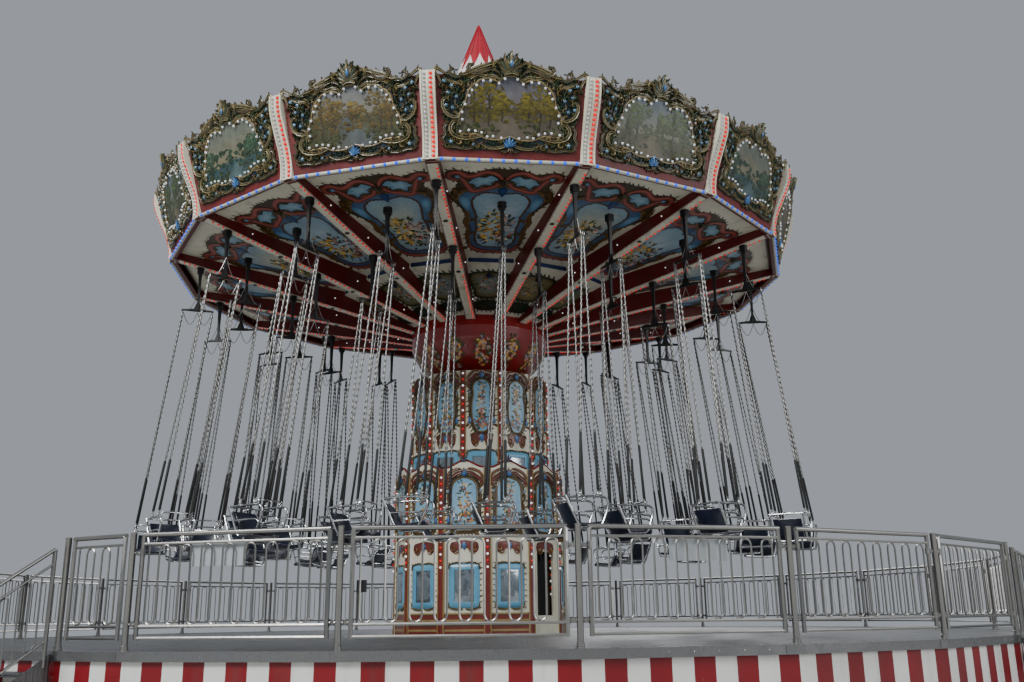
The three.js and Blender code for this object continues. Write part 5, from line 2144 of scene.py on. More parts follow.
@dataclass
class ChairSet:
    """Forty-eight chairs: black hanger, four chains with hose sleeves, tube chair with a seat shell."""

    rings: tuple = ((4.646, 6.620, "corner"), (4.024, 6.578, "bay"), (3.167, 6.2766, "corner"))
    drop: float = 0.72
    arm_level: float = 2.466
    arm_half: float = 0.225
    swing: float = 0.09
    lag: float = 0.045
    link: float = 0.04
    sleeve: float = 0.74

    def bearings(self, kind: str) -> np.ndarray:
        """Gives the bearings of a ring of hangers."""
        return CORNER_BEARINGS if kind == "corner" else BAY_BEARINGS

    def hanger(self, reach: float, top: float) -> Surface:
        """Gives the head with its pin, the rod, the gusset and the tapered spreader."""
        boss = block((reach - 0.05, -0.05, top - 0.1), (reach + 0.05, 0.05, top - 0.004), bevel=0.012)
        collar = turned_shape(
            np.array([(0.06, 0), (0.066, 0.006), (0.066, 0.014), (0.05, 0.02)]), 10
        ).shifted(reach, 0, top - 0.022)
        pin = tube(np.array([(reach, -0.064, top - 0.06), (reach, 0.064, top - 0.06)]), 0.016, 8)
        low = top - self.drop
        rod = loft(
            np.array(
                [
                    [(reach - w, -w, z), (reach + w, -w, z), (reach + w, w, z), (reach - w, w, z)]
                    for w, z in ((0.017, low), (0.019, low + 0.3), (0.024, top - 0.16), (0.034, top - 0.09))
                ]
            )
        )
        half = self.arm_half + 0.02
        profile = np.array(
            [
                (-half, -0.012), (0, -0.02), (half, -0.012), (half, 0.01), (0.06, 0.03), (0.02, 0.14),
                (-0.02, 0.14), (-0.06, 0.03), (-half, 0.01)
            ]
        )
        plate = slab(profile, 0.012).shifted(0, 0, -0.006).moved(STOOD_UP, (reach, 0, low))
        bar = tube(
            np.array(
                [(reach - half, 0, low - 0.004), (reach, 0, low + 0.004), (reach + half, 0, low - 0.004)]
            ),
            0.013, 6
        )
        return join([boss, collar, pin, rod, plate, bar])

    def shackles(self, reach: float, top: float) -> Surface:
        """Gives the two bent shackles at each end of the spreader."""
        low = top - self.drop
        t = np.linspace(0, 2 * np.pi, 10, endpoint=False)
        loop = np.stack([np.zeros(10), 0.016 * np.sin(t), -0.03 + 0.038 * np.cos(t)], axis=-1)
        ring = tube(loop, 0.0055, 4, across=OUTWARDS, closed=True)
        ends = [(reach + side * self.arm_half, run, low) for side in (-1, 1) for run in (-0.012, 0.012)]
        return join([ring.shifted(*end) for end in ends])

    def loops(self, reach: float, top: float) -> Surface:
        """Gives the drooping safety ropes: each hangs in a parabola between the rod and an end."""
        low = top - self.drop
        t = np.linspace(0, 1, 8)
        parts = []
        for side in (-1, 1):
            end = reach + side * (self.arm_half - 0.01)
            x = reach + (end - reach) * t
            upper = low + 0.3 * (1 - t) ** 1.5 - 0.07 * np.sin(np.pi * t)
            parts.append(tube(np.stack([x, 0.016 * np.ones(8), upper], axis=-1), 0.005, 4, across=ALONG))
            under = low - 0.03 - 0.2 * np.sin(np.pi * t)
            parts.append(tube(np.stack([x, -0.016 * np.ones(8), under], axis=-1), 0.005, 4, across=ALONG))
        return join(parts)

    def chain_ends(self, reach: float, top: float) -> list[tuple[np.ndarray, np.ndarray]]:
        """Gives each chain's upper and lower end."""
        out, back = self.swing * reach, self.lag * reach
        ends = []
        for side in (-1, 1):
            x = reach + side * self.arm_half
            for run, start in ((-0.09, -0.012), (0.13, 0.012)):
                ends.append(
                    (
                        np.array([x, start, top - self.drop - 0.055]),
                        np.array([x + out, run - back, self.arm_level + 0.035])
                    )
                )
        return ends

    def chain(self, top: np.ndarray, foot: np.ndarray) -> Surface:
        """Twists a four-cornered section along the chain: wide one way, then the other, link by link.

        Odd rings are nearly four times as wide along one side as along the other, and even rings
        are turned by a right angle; the tint goes between light and dark with them, which paints shade in the
        gaps between links.

        Args:
            top: The upper end.
            foot: The lower end.

        Returns:
            The chain.
        """
        length = float(np.linalg.norm(foot - top))
        count = int(length / self.link)
        path = top + np.linspace(0, 1, count)[:, None] * (foot - top)
        ahead = (foot - top) / length
        side = unit(np.cross(ahead, [0.0, 1.0, 0.0]))
        other = np.cross(ahead, side)
        odd = np.arange(count) % 2
        wide = np.where(odd, 0.0185, 0.005)[:, None, None]
        tall = np.where(odd, 0.005, 0.0185)[:, None, None]
        turn = np.arange(4) * np.pi / 2
        points = path[:, None] + wide * np.cos(turn)[None, :, None] * side
        points = points + tall * np.sin(turn)[None, :, None] * other
        shade = np.where(odd, 1.0, 0.3)[:, None, None] * np.ones((1, 4, 3))
        surface = grid(points, np.concatenate([shade, np.ones((count, 4, 1))], axis=-1), False, True)
        ring = np.arange(4)
        return fan_caps(surface, (ring, ring + (count - 1) * 4))

    def sleeves(self, reach: float, top: float) -> Surface:
        """Gives the hose over the lowest part of each chain, with a thicker lip at both ends."""
        parts = []
        for high, low in self.chain_ends(reach, top):
            ahead = unit(high - low)
            share = np.array([0.06, 0.07, self.sleeve - 0.01, self.sleeve])
            path = low + share[:, None] * ahead
            parts.append(tube(path, np.array([0.015, 0.0175, 0.0175, 0.015]), 6, across=ALONG))
        return join(parts)

    def chains(self, reach: float, top: float) -> Surface:
        """Gives the four chains down to their sleeves, and their last links under them."""
        parts = []
        for high, low in self.chain_ends(reach, top):
            ahead = unit(high - low)
            parts.append(self.chain(high, low + (self.sleeve - 0.02) * ahead))
            parts.append(self.chain(low + 0.07 * ahead, low - 0.025 * ahead))
        return join(parts)

    def chair_place(self, reach: float) -> tuple[float, float, float]:
        """Gives the chair's middle at arm level."""
        return reach * (1 + self.swing), -self.lag * reach, self.arm_level

    def frame_tubes(self) -> Surface:
        """Bends the chair's tubes: arm loops, back loop, seat rails, cross tubes and the lap bar."""
        parts = []
        for x in (-self.arm_half, self.arm_half):
            arm = [
                (x, -0.235, -0.002), (x, -0.1, 0.008), (x, 0.08, 0.012), (x, 0.2, 0.006), (x, 0.246, -0.03),
                (x, 0.245, -0.1),
                (x, 0.21, -0.2), (x, 0.17, -0.29), (x, 0.12, -0.325), (x, 0.0, -0.335), (x, -0.12, -0.335),
            ]
            parts.append(tube(smooth(arm, 18, False), 0.015, 6, across=OUTWARDS))
            rail = [(x, -0.17, -0.165), (x, 0.0, -0.158), (x, 0.16, -0.16), (x, 0.205, -0.19)]
            parts.append(tube(smooth(rail, 7, False), 0.012, 6, across=OUTWARDS))
            back = [
                (x, -0.27, 0.015), (x, -0.24, -0.05), (x, -0.17, -0.2), (x, -0.12, -0.3),
                (x, -0.085, -0.345)
            ]
            parts.append(tube(smooth(back, 9, False), 0.015, 6, across=OUTWARDS))
        h = self.arm_half
        for y, z in ((-0.268, 0.012), (-0.1, -0.342), (0.12, -0.338)):
            parts.append(tube(np.array([(-h, y, z), (0, y, z), (h, y, z)]), 0.011, 6))
        lap = [
            (-h, 0.1, 0.0), (-h + 0.015, 0.16, 0.05), (-h + 0.05, 0.2, 0.062), (0, 0.212, 0.066),
            (h - 0.05, 0.2, 0.062), (h - 0.015, 0.16, 0.05), (h, 0.1, 0.0)
        ]
        parts.append(tube(smooth(lap, 17, False), 0.0105, 6))
        return join(parts)

    def knobs(self) -> Surface:
        """Gives the lugs that the chains hook into, each a short turned knob on the arm."""
        profile = np.array(
            [(0.012, 0.0), (0.016, 0.01), (0.013, 0.022), (0.02, 0.032), (0.021, 0.044), (0.012, 0.056)]
        )
        knob = turned_shape(profile, 7)
        return join(
            [knob.shifted(x, y, 0.004) for x in (-self.arm_half, self.arm_half) for y in (-0.09, 0.13)]
        )

    def shell(self) -> Surface:
        """Moulds the seat: a back and seat line swept across, dished in the middle, with a rolled edge."""
        line = smooth(
            [
                (-0.238, -0.055), (-0.213, -0.12), (-0.172, -0.21), (-0.13, -0.29), (-0.07, -0.325),
                (0.05, -0.322), (0.16, -0.305), (0.225, -0.305), (0.24, -0.33)
            ],
            15, False,
        )
        ahead = directions(line)
        normal = np.stack([-ahead[:, 1], ahead[:, 0]], axis=-1)
        across = np.array([-1, -0.93, -0.75, -0.35, 0, 0.35, 0.75, 0.93, 1])
        dish = np.array([0.03, 0.024, 0.006, -0.006, -0.01, -0.006, 0.006, 0.024, 0.03])
        ends = np.sin(np.linspace(0, np.pi, 15)) ** 0.4
        sheets = []
        for depth in (0.014, -0.014):
            flat = line[:, None] + (dish[None, :, None] * ends[:, None, None] + depth) * normal[:, None]
            x = np.broadcast_to(across * (self.arm_half - 0.035), flat.shape[:2])
            sheets.append(np.concatenate([x[..., None], flat], axis=-1))
        section = np.concatenate([sheets[0], sheets[1][:, ::-1]], axis=1)
        surface = grid(section, np.ones((15, 18, 4)), False, True)
        under = np.arange(9)
        caps = []
        for row, order in ((0, 1), (14, -1)):
            first = row * 18 + under
            second = row * 18 + 17 - under
            quads = np.stack([first[:-1], second[:-1], second[1:], first[1:]], axis=-1)
            caps.append(quads[:, ::order])
        return replace(surface, quads=np.vstack([surface.quads, *caps]))

    def build(self) -> None:
        """Builds all three rings of chairs."""
        black, ropes, chrome, shells, knobs, hoses = [], [], [], [], [], []
        for number, (reach, top, kind) in enumerate(self.rings):
            turns = self.bearings(kind)
            black.append(around(self.hanger(reach, top), turns))
            ropes.append(around(join([self.shackles(reach, top), self.loops(reach, top)]), turns))
            hoses.append(around(self.sleeves(reach, top), turns))
            place = self.chair_place(reach)
            chrome.append(around(self.frame_tubes().shifted(*place), turns))
            shells.append(around(self.shell().shifted(*place), turns))
            knobs.append(around(self.knobs().shifted(*place), turns))
            chains = around(self.chains(reach, top), turns)
            lay(f"chains_{number + 1}", chains, CHAIN_TINTED, Body.CROWN, 180)
        lay("hangers", join(black), BLACK_STEEL, Body.CROWN, 40)
        lay("hanger_ropes", join(ropes), CHAIN, Body.CROWN, 60)
        lay("chain_hoses", join(hoses), HOSE, Body.CROWN, 60)
        lay("chair_tubes", join(chrome), CHROME, Body.CROWN, 60)
        lay("chair_shells", join(shells), SEAT_SHELL, Body.CROWN, 60)
        lay("chair_knobs", join(knobs), CHROME, Body.CROWN, 60)


# Tower, deck and fence


@dataclass
class Housing:
    """Twelve cream panels round the mast: cartouche, scroll, framed mirror and lamp-lined pilasters."""

    name: str = "lower"
    body: Body = Body.BASE
    radius: float = 1.362
    bearing: float = 6.73
    foot: float = DECK_TOP
    pilaster_foot: float = 0.001
    pilaster_top: float = 2.458
    pilaster_half: float = 0.052
    pilaster_rise: float = 0.018
    lamps: tuple[float, float, float] = (0.98, 2.41, 0.096)
    scroll_level: float = 1.28
    mirror: tuple[float, float] = (0.479, 0.945)
    picture: tuple = (
        (0, 1.52), (0.12, 1.52), (0.2, 1.58), (0.21, 1.76), (0.2, 1.98), (0.195, 2.16), (0.15, 2.26),
        (0.08, 2.3), (0, 2.32),
    )
    open_panel: int = 1

    def __post_init__(self) -> None:
        """Works out the panels' distance and the bearings of panels and corners."""
        self.apothem = self.radius * math.cos(HALF_PANEL)
        self.panels = self.bearing + 15 + 30 * np.arange(12)
        self.corners = self.bearing + 30 * np.arange(12)

    def place(self, flat: Surface, bearings: Sequence[float] | np.ndarray) -> Surface:
        """Takes a flat drawing to the panels at some bearings."""
        return around(flat.moved(*panel_place(self.apothem, self.foot)), bearings)

    def cartouche(self, seed: int) -> Surface:
        """Paints a tall blue cartouche with a garland, and carves the gilt leaves and crest round it."""
        outline = halves(self.picture, 44)
        low, high = outline[:, 1].min(), outline[:, 1].max()
        middle = (low + high) / 2
        tall = high - low
        gilt, red = linear("83653a"), linear("7c3a30")
        wide = outline[:, 0].max()
        grown = (outline - (0, middle)) * (1 + 0.055 / wide, 1 + 0.1 / tall) + (0, middle)
        shades = [linear("b58a3e"), linear("c9c3b4"), linear("a65f5c"), linear("c9a85a"), linear("8a4a3a")]
        parts = [
            painted_field(grown, linear("4b3a20"), linear("5d4a28"), 0.002),
            fringe(grown, 46, 0.06, gilt, 1.0, True, 0.003, 0.16),
            fringe(grown, 40, 0.05, linear("4c4a30"), -2.2, True, 0.006, 0.16),
            painted_field(outline, linear("6f9dba"), linear("9bbfd0"), 0.0065),
            ribbon(outline, 0.013, 0.009, linear("3a2c16"), linear("94763f"), 0.006, True),
            bouquet(
                (0, middle + 0.04), (0.36 * wide, 0.4 * tall), 34, seed, 0.0085, 0.026, shades,
                linear("4c6a50")
            ),
            bouquet(
                (0, low + 0.17), (0.62 * wide, 0.12), 20, seed + 31, 0.0115, 0.026,
                [*shades, linear("5f82a8")], linear("41573c")
            ),
            bouquet(
                (0, high - 0.12), (0.4 * wide, 0.06), 8, seed + 47, 0.0105, 0.022,
                [linear("cfcdc4"), linear("7d9ab8")], linear("4c6a50")
            ),
        ]
        side = [
            carved(
                [
                    (0.0, high + 0.075), (0.1, high + 0.07), (wide * 0.85, high + 0.02),
                    (wide + 0.06, high - 0.06), (wide + 0.045, high - 0.12)
                ],
                0.03, 0.016, 0.6, red, linear("5a211c"), 0.006
            ),
            carved(
                [
                    (wide + 0.03, high - 0.16), (wide + 0.05, middle + 0.1 * tall), (wide + 0.02, middle),
                    (wide + 0.045, middle - 0.12 * tall)
                ],
                0.014, 0.012, 0.5, gilt, MOSS, 0.007
            ),
            carved(
                [
                    (0.05, high + 0.13), (0.12, high + 0.13), (wide + 0.02, high + 0.08),
                    (wide + 0.065, high + 0.01), (wide + 0.05, high - 0.04)
                ],
                0.024, 0.014, 0.5, gilt, red, 0.012, 9
            ),
            painted_field(
                halves([(0, -0.06), (0.026, -0.035), (0.02, 0.02), (0, 0.05)], 12)
                + (wide + 0.035, middle - 0.28 * tall),
                BLUE, MID_BLUE, 0.01, 0.008
            ),
            painted_field(
                halves([(0, -0.03), (0.018, -0.01), (0.014, 0.02), (0, 0.035)], 10)
                + (wide + 0.04, middle + 0.24 * tall),
                MID_BLUE, SKY, 0.01, 0.006
            ),
        ]
        tips = np.array(
            [
                (wide + 0.03, middle - 0.36 * tall), (wide * 0.8, low - 0.02), (wide + 0.06, high - 0.1),
                (wide + 0.03, middle + 0.3 * tall)
            ]
        )
        side.append(
            scattered(
                leaf(2, 0.2, 5), tips, np.full(4, 0.085), np.tile(gilt, (4, 1)), 0.009,
                np.array([-0.6, -0.9, 0.3, 0.9])
            )
        )
        parts.append(join(side).both())
        parts.append(
            painted_field(
                halves([(0, high + 0.01), (0.04, high + 0.05), (0.026, high + 0.1), (0, high + 0.12)], 16),
                BLUE, MID_BLUE, 0.026, 0.012
            )
        )
        parts.append(fan_of_leaves((0, high + 0.06), 0.1, 5, 2.4, [gilt, red], 0.02))
        return join(parts)

    def scroll_bracket(self, level: float, wide: float = 0.25, tall: float = 0.1) -> Surface:
        """Carves the red-brown bracket under a cartouche: two gilt curls and a blue gem."""
        red = linear("7a362c")
        outline = halves(
            [
                (0, level - 0.02 * tall), (0.35 * wide, level - 0.35 * tall),
                (0.75 * wide, level - 0.9 * tall), (wide, level - 0.3 * tall),
                (0.92 * wide, level + 0.6 * tall), (0.5 * wide, level + 0.85 * tall), (0, level + tall)
            ],
            40
        )
        t = np.linspace(0, 1, 14)
        turn = 1.1 + 6.2 * t
        radius = 0.36 * tall * (1 - 0.75 * t) + 0.004
        curl = np.stack(
            [0.76 * wide + radius * np.cos(turn), level - 0.28 * tall + radius * np.sin(turn)], axis=-1
        )
        tail = np.array(
            [
                (0.3 * wide, level - 0.2 * tall), (0.42 * wide, level - 0.75 * tall),
                (0.6 * wide, level - 0.95 * tall), (0.8 * wide, level - 0.8 * tall)
            ]
        )
        side = join(
            [
                carved(curl, 0.013, 0.012, 0.4, linear("a3834a"), red, 0.008),
                carved(tail, 0.011, 0.01, 0.4, linear("a3834a"), red, 0.008)
            ]
        )
        gem = halves(
            [
                (0, level - 0.5 * tall), (0.03, level), (0.04, level + 0.3 * tall),
                (0.018, level + 0.6 * tall), (0, level + 0.7 * tall)
            ],
            20
        )
        return join(
            [
                painted_field(outline, linear("56211b"), red, 0.003, 0.008), side.both(),
                painted_field(gem, BLUE, MID_BLUE, 0.014, 0.008)
            ]
        )

    def mirror_frame(self, low: float, high: float, wide: float = 0.147) -> Surface:
        """Gives the blue frame round a mirror, a band a side mitred at the corners, with gilt scrolls."""
        out = 0.09
        inner = np.array([(-wide, low), (wide, low), (wide, high), (-wide, high)])
        middle = (low + high) / 2
        rings = []
        for grow, lift in ((0.0, 0.004), (0.0, 0.014), (0.012, 0.016), (out - 0.012, 0.012), (out, 0.003)):
            corner = inner + np.sign(inner - (0, middle)) * grow
            rings.append(np.column_stack([corner, np.full(4, lift)]))
        blue, gilt = linear("5f9dbd"), linear("8a6c3c")
        points = np.array(rings)
        tones = np.broadcast_to([*blue, 1.0], (5, 2, 4))
        bands = [grid(points[::-1, [k, (k + 1) % 4]], tones) for k in range(4)]
        side = []
        for level, sign in ((low - out, -1), (high + out, 1)):
            side.append(
                carved(
                    [
                        (0.02, level + 0.005 * sign), (0.09, level + 0.018 * sign), (wide + 0.04, level),
                        (wide + 0.085, level - 0.03 * sign), (wide + 0.08, level - 0.08 * sign)
                    ],
                    0.014, 0.014, 0.5, gilt, MOSS, 0.01
                )
            )
        border = np.array([(wide + out, low - out), (wide + out, high + out)])
        path = along_line(border[0], border[1], 12)
        side.append(fringe(path, 9, 0.045, gilt, 1.1, False, 0.006, 0.2))
        top = along_line((wide + out, high + out), (0, high + out), 8)
        side.append(fringe(top, 6, 0.04, gilt, 1.1, False, 0.006, 0.2))
        return join([*bands, join(side).both()])

    def mirror_pane(self, low: float, high: float, wide: float = 0.147) -> Surface:
        """Gives the mirror with a narrow bevel."""
        rings = []
        middle = (low + high) / 2
        corner = np.array([(-wide, low), (wide, low), (wide, high), (-wide, high)])
        for shrink, lift in ((0.0, 0.003), (0.012, 0.006), (0.13, 0.006)):
            rings.append(np.column_stack([corner - np.sign(corner - (0, middle)) * shrink, np.full(4, lift)]))
        surface = grid(np.array(rings), np.ones((3, 4, 4)), False, True)
        last = np.array([[8, 9, 10, 11]])
        return replace(surface, quads=np.vstack([surface.quads, last]))

    def arch(self) -> Surface:
        """Gives the dark-red moulding along the arched top with its small palmette."""
        share = np.linspace(0, 1, 17)
        rise = 2.467 + 0.108 * (1 - np.cos(2 * np.pi * share)) / 2
        path = np.stack([np.full(17, -0.012), -0.3 + 0.6 * share, rise + 0.004], axis=-1)
        rail = tube(path, 0.02, 6, linear("7a2620"), OUTWARDS).shifted(self.apothem, 0, self.foot)
        crest = fan_of_leaves((0, 2.56), 0.12, 5, 2.2, [linear("7a2620"), MID_BLUE], 0.012)
        return join([rail, crest.moved(*panel_place(self.apothem, self.foot))])

    def plinth(self) -> Surface:
        """Gives the red plinth boards with ochre lines."""
        parts = []
        for low, high, tone, lift in (
            (0.002, 0.3, linear("6e2a20"), 0.004), (0.06, 0.09, OCHRE, 0.007),
            (0.13, 0.17, linear("4a3a22"), 0.006), (0.2, 0.23, OCHRE, 0.007), (0.3, 0.325, OCHRE, 0.016)
        ):
            outline = np.array([(-0.3, low), (0.3, low), (0.3, high), (-0.3, high)])
            parts.append(slab(outline, lift, tone))
        return join(parts)

    def pilasters(self) -> Surface:
        """Gives each corner's folded strips: ochre at both sides, dark red between them.

        A point at a distance along one panel from the corner and a rise over it lies at the corner
        less the distance times the panel's direction plus the rise times its outward direction.
        """
        c, s = math.cos(HALF_PANEL), math.sin(HALF_PANEL)
        low, high = self.foot + self.pilaster_foot, self.foot + self.pilaster_top
        half, rise = self.pilaster_half, self.pilaster_rise
        parts = []
        for start, end, lift, tone in (
            (0.0, 0.034, 0.004, linear("6d231c")), (0.034, half, 0.009, linear("8d7440"))
        ):
            runs = np.array(
                [(start, rise + lift), (end, rise + lift), (end, rise - 0.004), (start, rise - 0.004)]
            )
            x = self.radius - runs[:, 0] * s + runs[:, 1] * c
            y = runs[:, 0] * c + runs[:, 1] * s
            x[[0, 3]] = np.where(start == 0, self.radius + runs[[0, 3], 1] / c, x[[0, 3]])
            y[[0, 3]] = np.where(start == 0, 0.0, y[[0, 3]])
            for sign in (1, -1):
                outline = np.stack([x, sign * y], axis=-1)[::sign]
                parts.append(slab(outline, high - low, tone).shifted(0, 0, low))
        return join(parts)

    def pilaster_lamps(self, first: int) -> Surface:
        """Sets every second lamp up a pilaster, from the first or second place."""
        low, high, pitch = self.lamps
        levels = np.arange(low, high, pitch)[first::2]
        reach = self.radius + self.pilaster_rise / math.cos(HALF_PANEL) + 0.002
        turn = np.array([[0, 0, 1], [1, 0, 0], [0, 1, 0]], float)
        spots = np.stack([np.full(len(levels), reach), np.zeros(len(levels)), self.foot + levels], axis=-1)
        return copies(bead(0.019, 0.024), np.broadcast_to(turn, (len(levels), 3, 3)), spots)

    def common(self) -> Surface:
        """Gives what every panel has besides its picture, also where only a raised column shows it."""
        if self.name == "lower":
            return self.scroll_bracket(self.scroll_level, 0.22)
        wreath = bouquet((0, 1.32), (0.13, 0.2), 20, 77, 0.003, 0.036, FLOWER_TONES)
        return join(
            [
                self.scroll_bracket(self.scroll_level, 0.17, 0.12), self.scroll_bracket(0.98, 0.17, 0.1),
                wreath
            ]
        )

    def build(self) -> None:
        """Builds and dresses the housing."""
        closed = np.array([i for i in range(12) if i != self.open_panel])
        pictures = [
            self.place(join([self.cartouche(5 * k + 3), self.common()]), self.panels[k::3])
            for k in range(3)
        ]
        parts = [*pictures, around(self.pilasters(), self.corners)]
        parts.append(self.place(self.mirror_frame(*self.mirror), self.panels[closed]))
        if self.name == "lower":
            parts.append(around(self.arch(), self.panels))
            parts.append(self.place(self.plinth(), self.panels[closed]))
            # Painted shade: a near-black sheet inside the open panel stands for the shaded inside of the
            # housing; a small box sits on it.
            shade_sheet = block((1.2, -0.205, 1.15), (1.206, 0.205, 2.13), bevel=0.002)
            box = block((1.206, -0.03, 2.0), (1.24, 0.03, 2.08), bevel=0.004)
            lay(
                "hatch_baffle",
                around(join([shade_sheet, box]), self.panels[self.open_panel : self.open_panel + 1]), HATCH_SHADE,
                self.body, 30
            )
        lay(f"{self.name}_housing_carving", join(parts), CARVED, self.body, 60)
        lay(
            f"{self.name}_mirrors", self.place(self.mirror_pane(*self.mirror), self.panels[closed]), MIRROR,
            self.body, 20
        )
        lay(f"{self.name}_lamps_red", around(self.pilaster_lamps(1), self.corners), RED_LAMP, self.body, 110)
        lay(
            f"{self.name}_lamps_white", around(self.pilaster_lamps(0), self.corners), WHITE_LAMP, self.body,
            110
        )


def upper_housing() -> Housing:
    """Gives the upper housing, which rises with the column."""
    return Housing(
        name="upper", body=Body.COLUMN, radius=1.148, bearing=-11.27, foot=1.1, pilaster_foot=0.002,
        pilaster_top=3.846, pilaster_rise=0.0, pilaster_half=0.05, lamps=(0.4, 3.82, 0.1),
        scroll_level=2.745, mirror=(1.9, 2.47),
        picture=(
            (0, 2.86), (0.06, 2.87), (0.11, 2.95), (0.15, 3.1), (0.155, 3.3), (0.13, 3.45), (0.14, 3.58),
            (0.1, 3.66), (0.05, 3.69), (0, 3.71),
        ),
        open_panel=-1,
    )


@dataclass
class Tower:
    """The bowl under the crown, the spire, the roof and the steel inside."""

    sphere: float = 1.228
    pivot: float = 5.979
    radius: float = 1.145
    mouth: float = 0.6
    top: float = 6.25

    def bowl(self) -> Surface:
        """Turns the bowl: an upright band over a part of a sphere about the pivot, with its inner wall."""
        low, high = math.asin(self.mouth / self.sphere), math.asin(self.radius / self.sphere)
        rise = np.linspace(low, high, 11)
        outside = [(self.sphere * math.sin(a), self.pivot - self.sphere * math.cos(a)) for a in rise]
        seam = [(1.145, 5.69), (1.1465, 5.694), (1.1465, 5.71), (1.145, 5.714), (1.145, self.top)]
        thin = self.sphere - 0.025
        inside = [(thin * math.sin(a), self.pivot - thin * math.cos(a)) for a in rise[::-1]]
        return ringed([*outside, *seam, (1.12, self.top), *inside], 72, 0.0)

    def wrap(self, flat: Surface, middle: float) -> Surface:
        """Lays a flat drawing on the sphere: V turns it up from the middle angle, U turns it round."""
        u, v, h = flat.points.T
        angle = middle + v / self.sphere
        away = (self.sphere + h + 0.002) * np.sin(angle)
        turn = u / (self.sphere * math.sin(middle))
        points = np.stack(
            [
                away * np.cos(turn), away * np.sin(turn),
                self.pivot - (self.sphere + h + 0.002) * np.cos(angle)
            ],
            axis=-1
        )
        return replace(flat, points=points)

    def bouquets(self) -> Surface:
        """Paints the bowl's fourteen bouquets, evenly spaced round it, in four kinds by turns."""
        tones = [linear("d3a0ac"), linear("dcb850"), linear("9aa8d0"), linear("dccfb0"), linear("c07468")]
        parts = []
        for kind in range(4):
            flat = join(
                [
                    bouquet((0, 0.0), (0.12, 0.27), 46, 200 + kind, 0.001, 0.034, tones, linear("4f5a2c")),
                    bouquet(
                        (0.02, 0.12), (0.09, 0.12), 18, 300 + kind, 0.003, 0.028, tones[:3],
                        linear("6a6a34")
                    ),
                ]
            )
            parts.append(around(self.wrap(flat, math.radians(56)), 5 + 360 / 14 * np.arange(kind, 14, 4)))
        return join(parts)

    def roof_battens(self) -> Surface:
        """Gives the battens over the roof's hips and the laced seams between them.

        A hip starts at the eave, which stands 0.07 inside the leaning boards at its own height.
        """
        share = math.cos(HALF_SIDE)
        board_slope, eave_level = 0.28857, 6.96
        eave = (RoundingBoards.apothem + (eave_level - RoundingBoards.foot) * board_slope - 0.07) / share
        low, high = np.array([eave - 0.03, 0, 7.012]), np.array([1.15, 0, 8.806])
        hips = tube(along_line(low, high, 6), 0.018, 6, across=ALONG)
        seam = along_line(low * (share, 1, 1), high * (share, 1, 1), 6)
        seams = tube(seam, 0.008, 5, across=ALONG)
        return join([around(hips, CORNER_BEARINGS), around(seams, BAY_BEARINGS)])

    def spire_ribs(self) -> Surface:
        """Gives the thin welted seams up the spire."""
        path = along_line((1.125, 0, 8.815), (0.02, 0, 11.9), 5)
        return around(tube(path, 0.006, 4, across=ALONG), CORNER_BEARINGS)

    def build(self) -> None:
        """Builds and dresses the tower's parts."""
        bowl = lay("bowl_shell", self.bowl(), CRIMSON_PAINT, Body.CROWN, 25)
        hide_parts("bowl")
        lay("bowl_bouquets", self.bouquets(), PAINTED, Body.CROWN, 60)
        lay("roof_battens", self.roof_battens(), ROOF_CANVAS, Body.CROWN, 60)
        lay("spire_seams", self.spire_ribs(), SPIRE_PAINT, Body.CROWN, 60)
        dress(ROOF_CANVAS, "roof")
        dress(SPIRE_PAINT, "spire")
        dress(CREAM_PAINT, "upper_housing", *numbered("lower_wall", 4))
        dress(DARK_STEEL, "chassis", "mast_socket", "mast", "tilt_head", "hub")


@dataclass
class Deck:
    """Tread-plate deck with a bright edge, and the striped skirt under it."""

    radius: float = 7.87
    bearing: float = -6.84

    def __post_init__(self) -> None:
        """Works out the bays' distance and bearings."""
        self.apothem = self.radius * math.cos(HALF_BAY)
        self.bays = self.bearing + 15 * (np.arange(24) + 0.5)

    def edge(self) -> Surface:
        """Gives the folded edge trim: a lip on the deck and a face down over its edge."""
        profile = [
            (-0.06, 0.9002), (-0.06, 0.9045), (0.004, 0.9045), (0.004, 0.818), (0.0005, 0.818),
            (0.0005, 0.9002)
        ]
        c = 1 / math.cos(HALF_BAY)
        return ringed([((self.apothem + x) * c, z) for x, z in profile][::-1], 24, self.bearing)

    def fixings(self) -> Surface:
        """Gives the button heads along the edge trim and the joint straps at the corners."""
        heads = rows_of(bead(0.009, 0.004), along_line((-0.96, 0.86, 0.004), (0.96, 0.86, 0.004), 9))
        strap = block((-0.05, 0.824, 0.003), (0.05, 0.898, 0.0075), bevel=0.002).shifted(0.93, 0, 0)
        return join([heads, strap]).moved(*panel_place(self.apothem, 0.0))

    def feet(self) -> Surface:
        """Gives the low rail along the skirt's foot."""
        c = 1 / math.cos(HALF_BAY)
        base = self.apothem - 0.03
        return ringed(
            [
                ((base + x) * c, z)
                for x, z in ((0.001, 0.002), (0.008, 0.002), (0.008, 0.05), (0.001, 0.055))
            ],
            24, self.bearing
        )

    def build(self) -> None:
        """Builds and dresses the deck."""
        dress(TREAD, "deck_1", "deck_2")
        dress(SKIRT_PAINT, *numbered("skirt", 3))
        lay("deck_edge", self.edge(), EDGE_TRIM, Body.BASE, 30)
        lay("deck_fixings", around(self.fixings(), self.bays), EDGE_TRIM, Body.BASE, 30)
        lay("skirt_rail", self.feet(), DARK_STEEL, Body.BASE, 30)


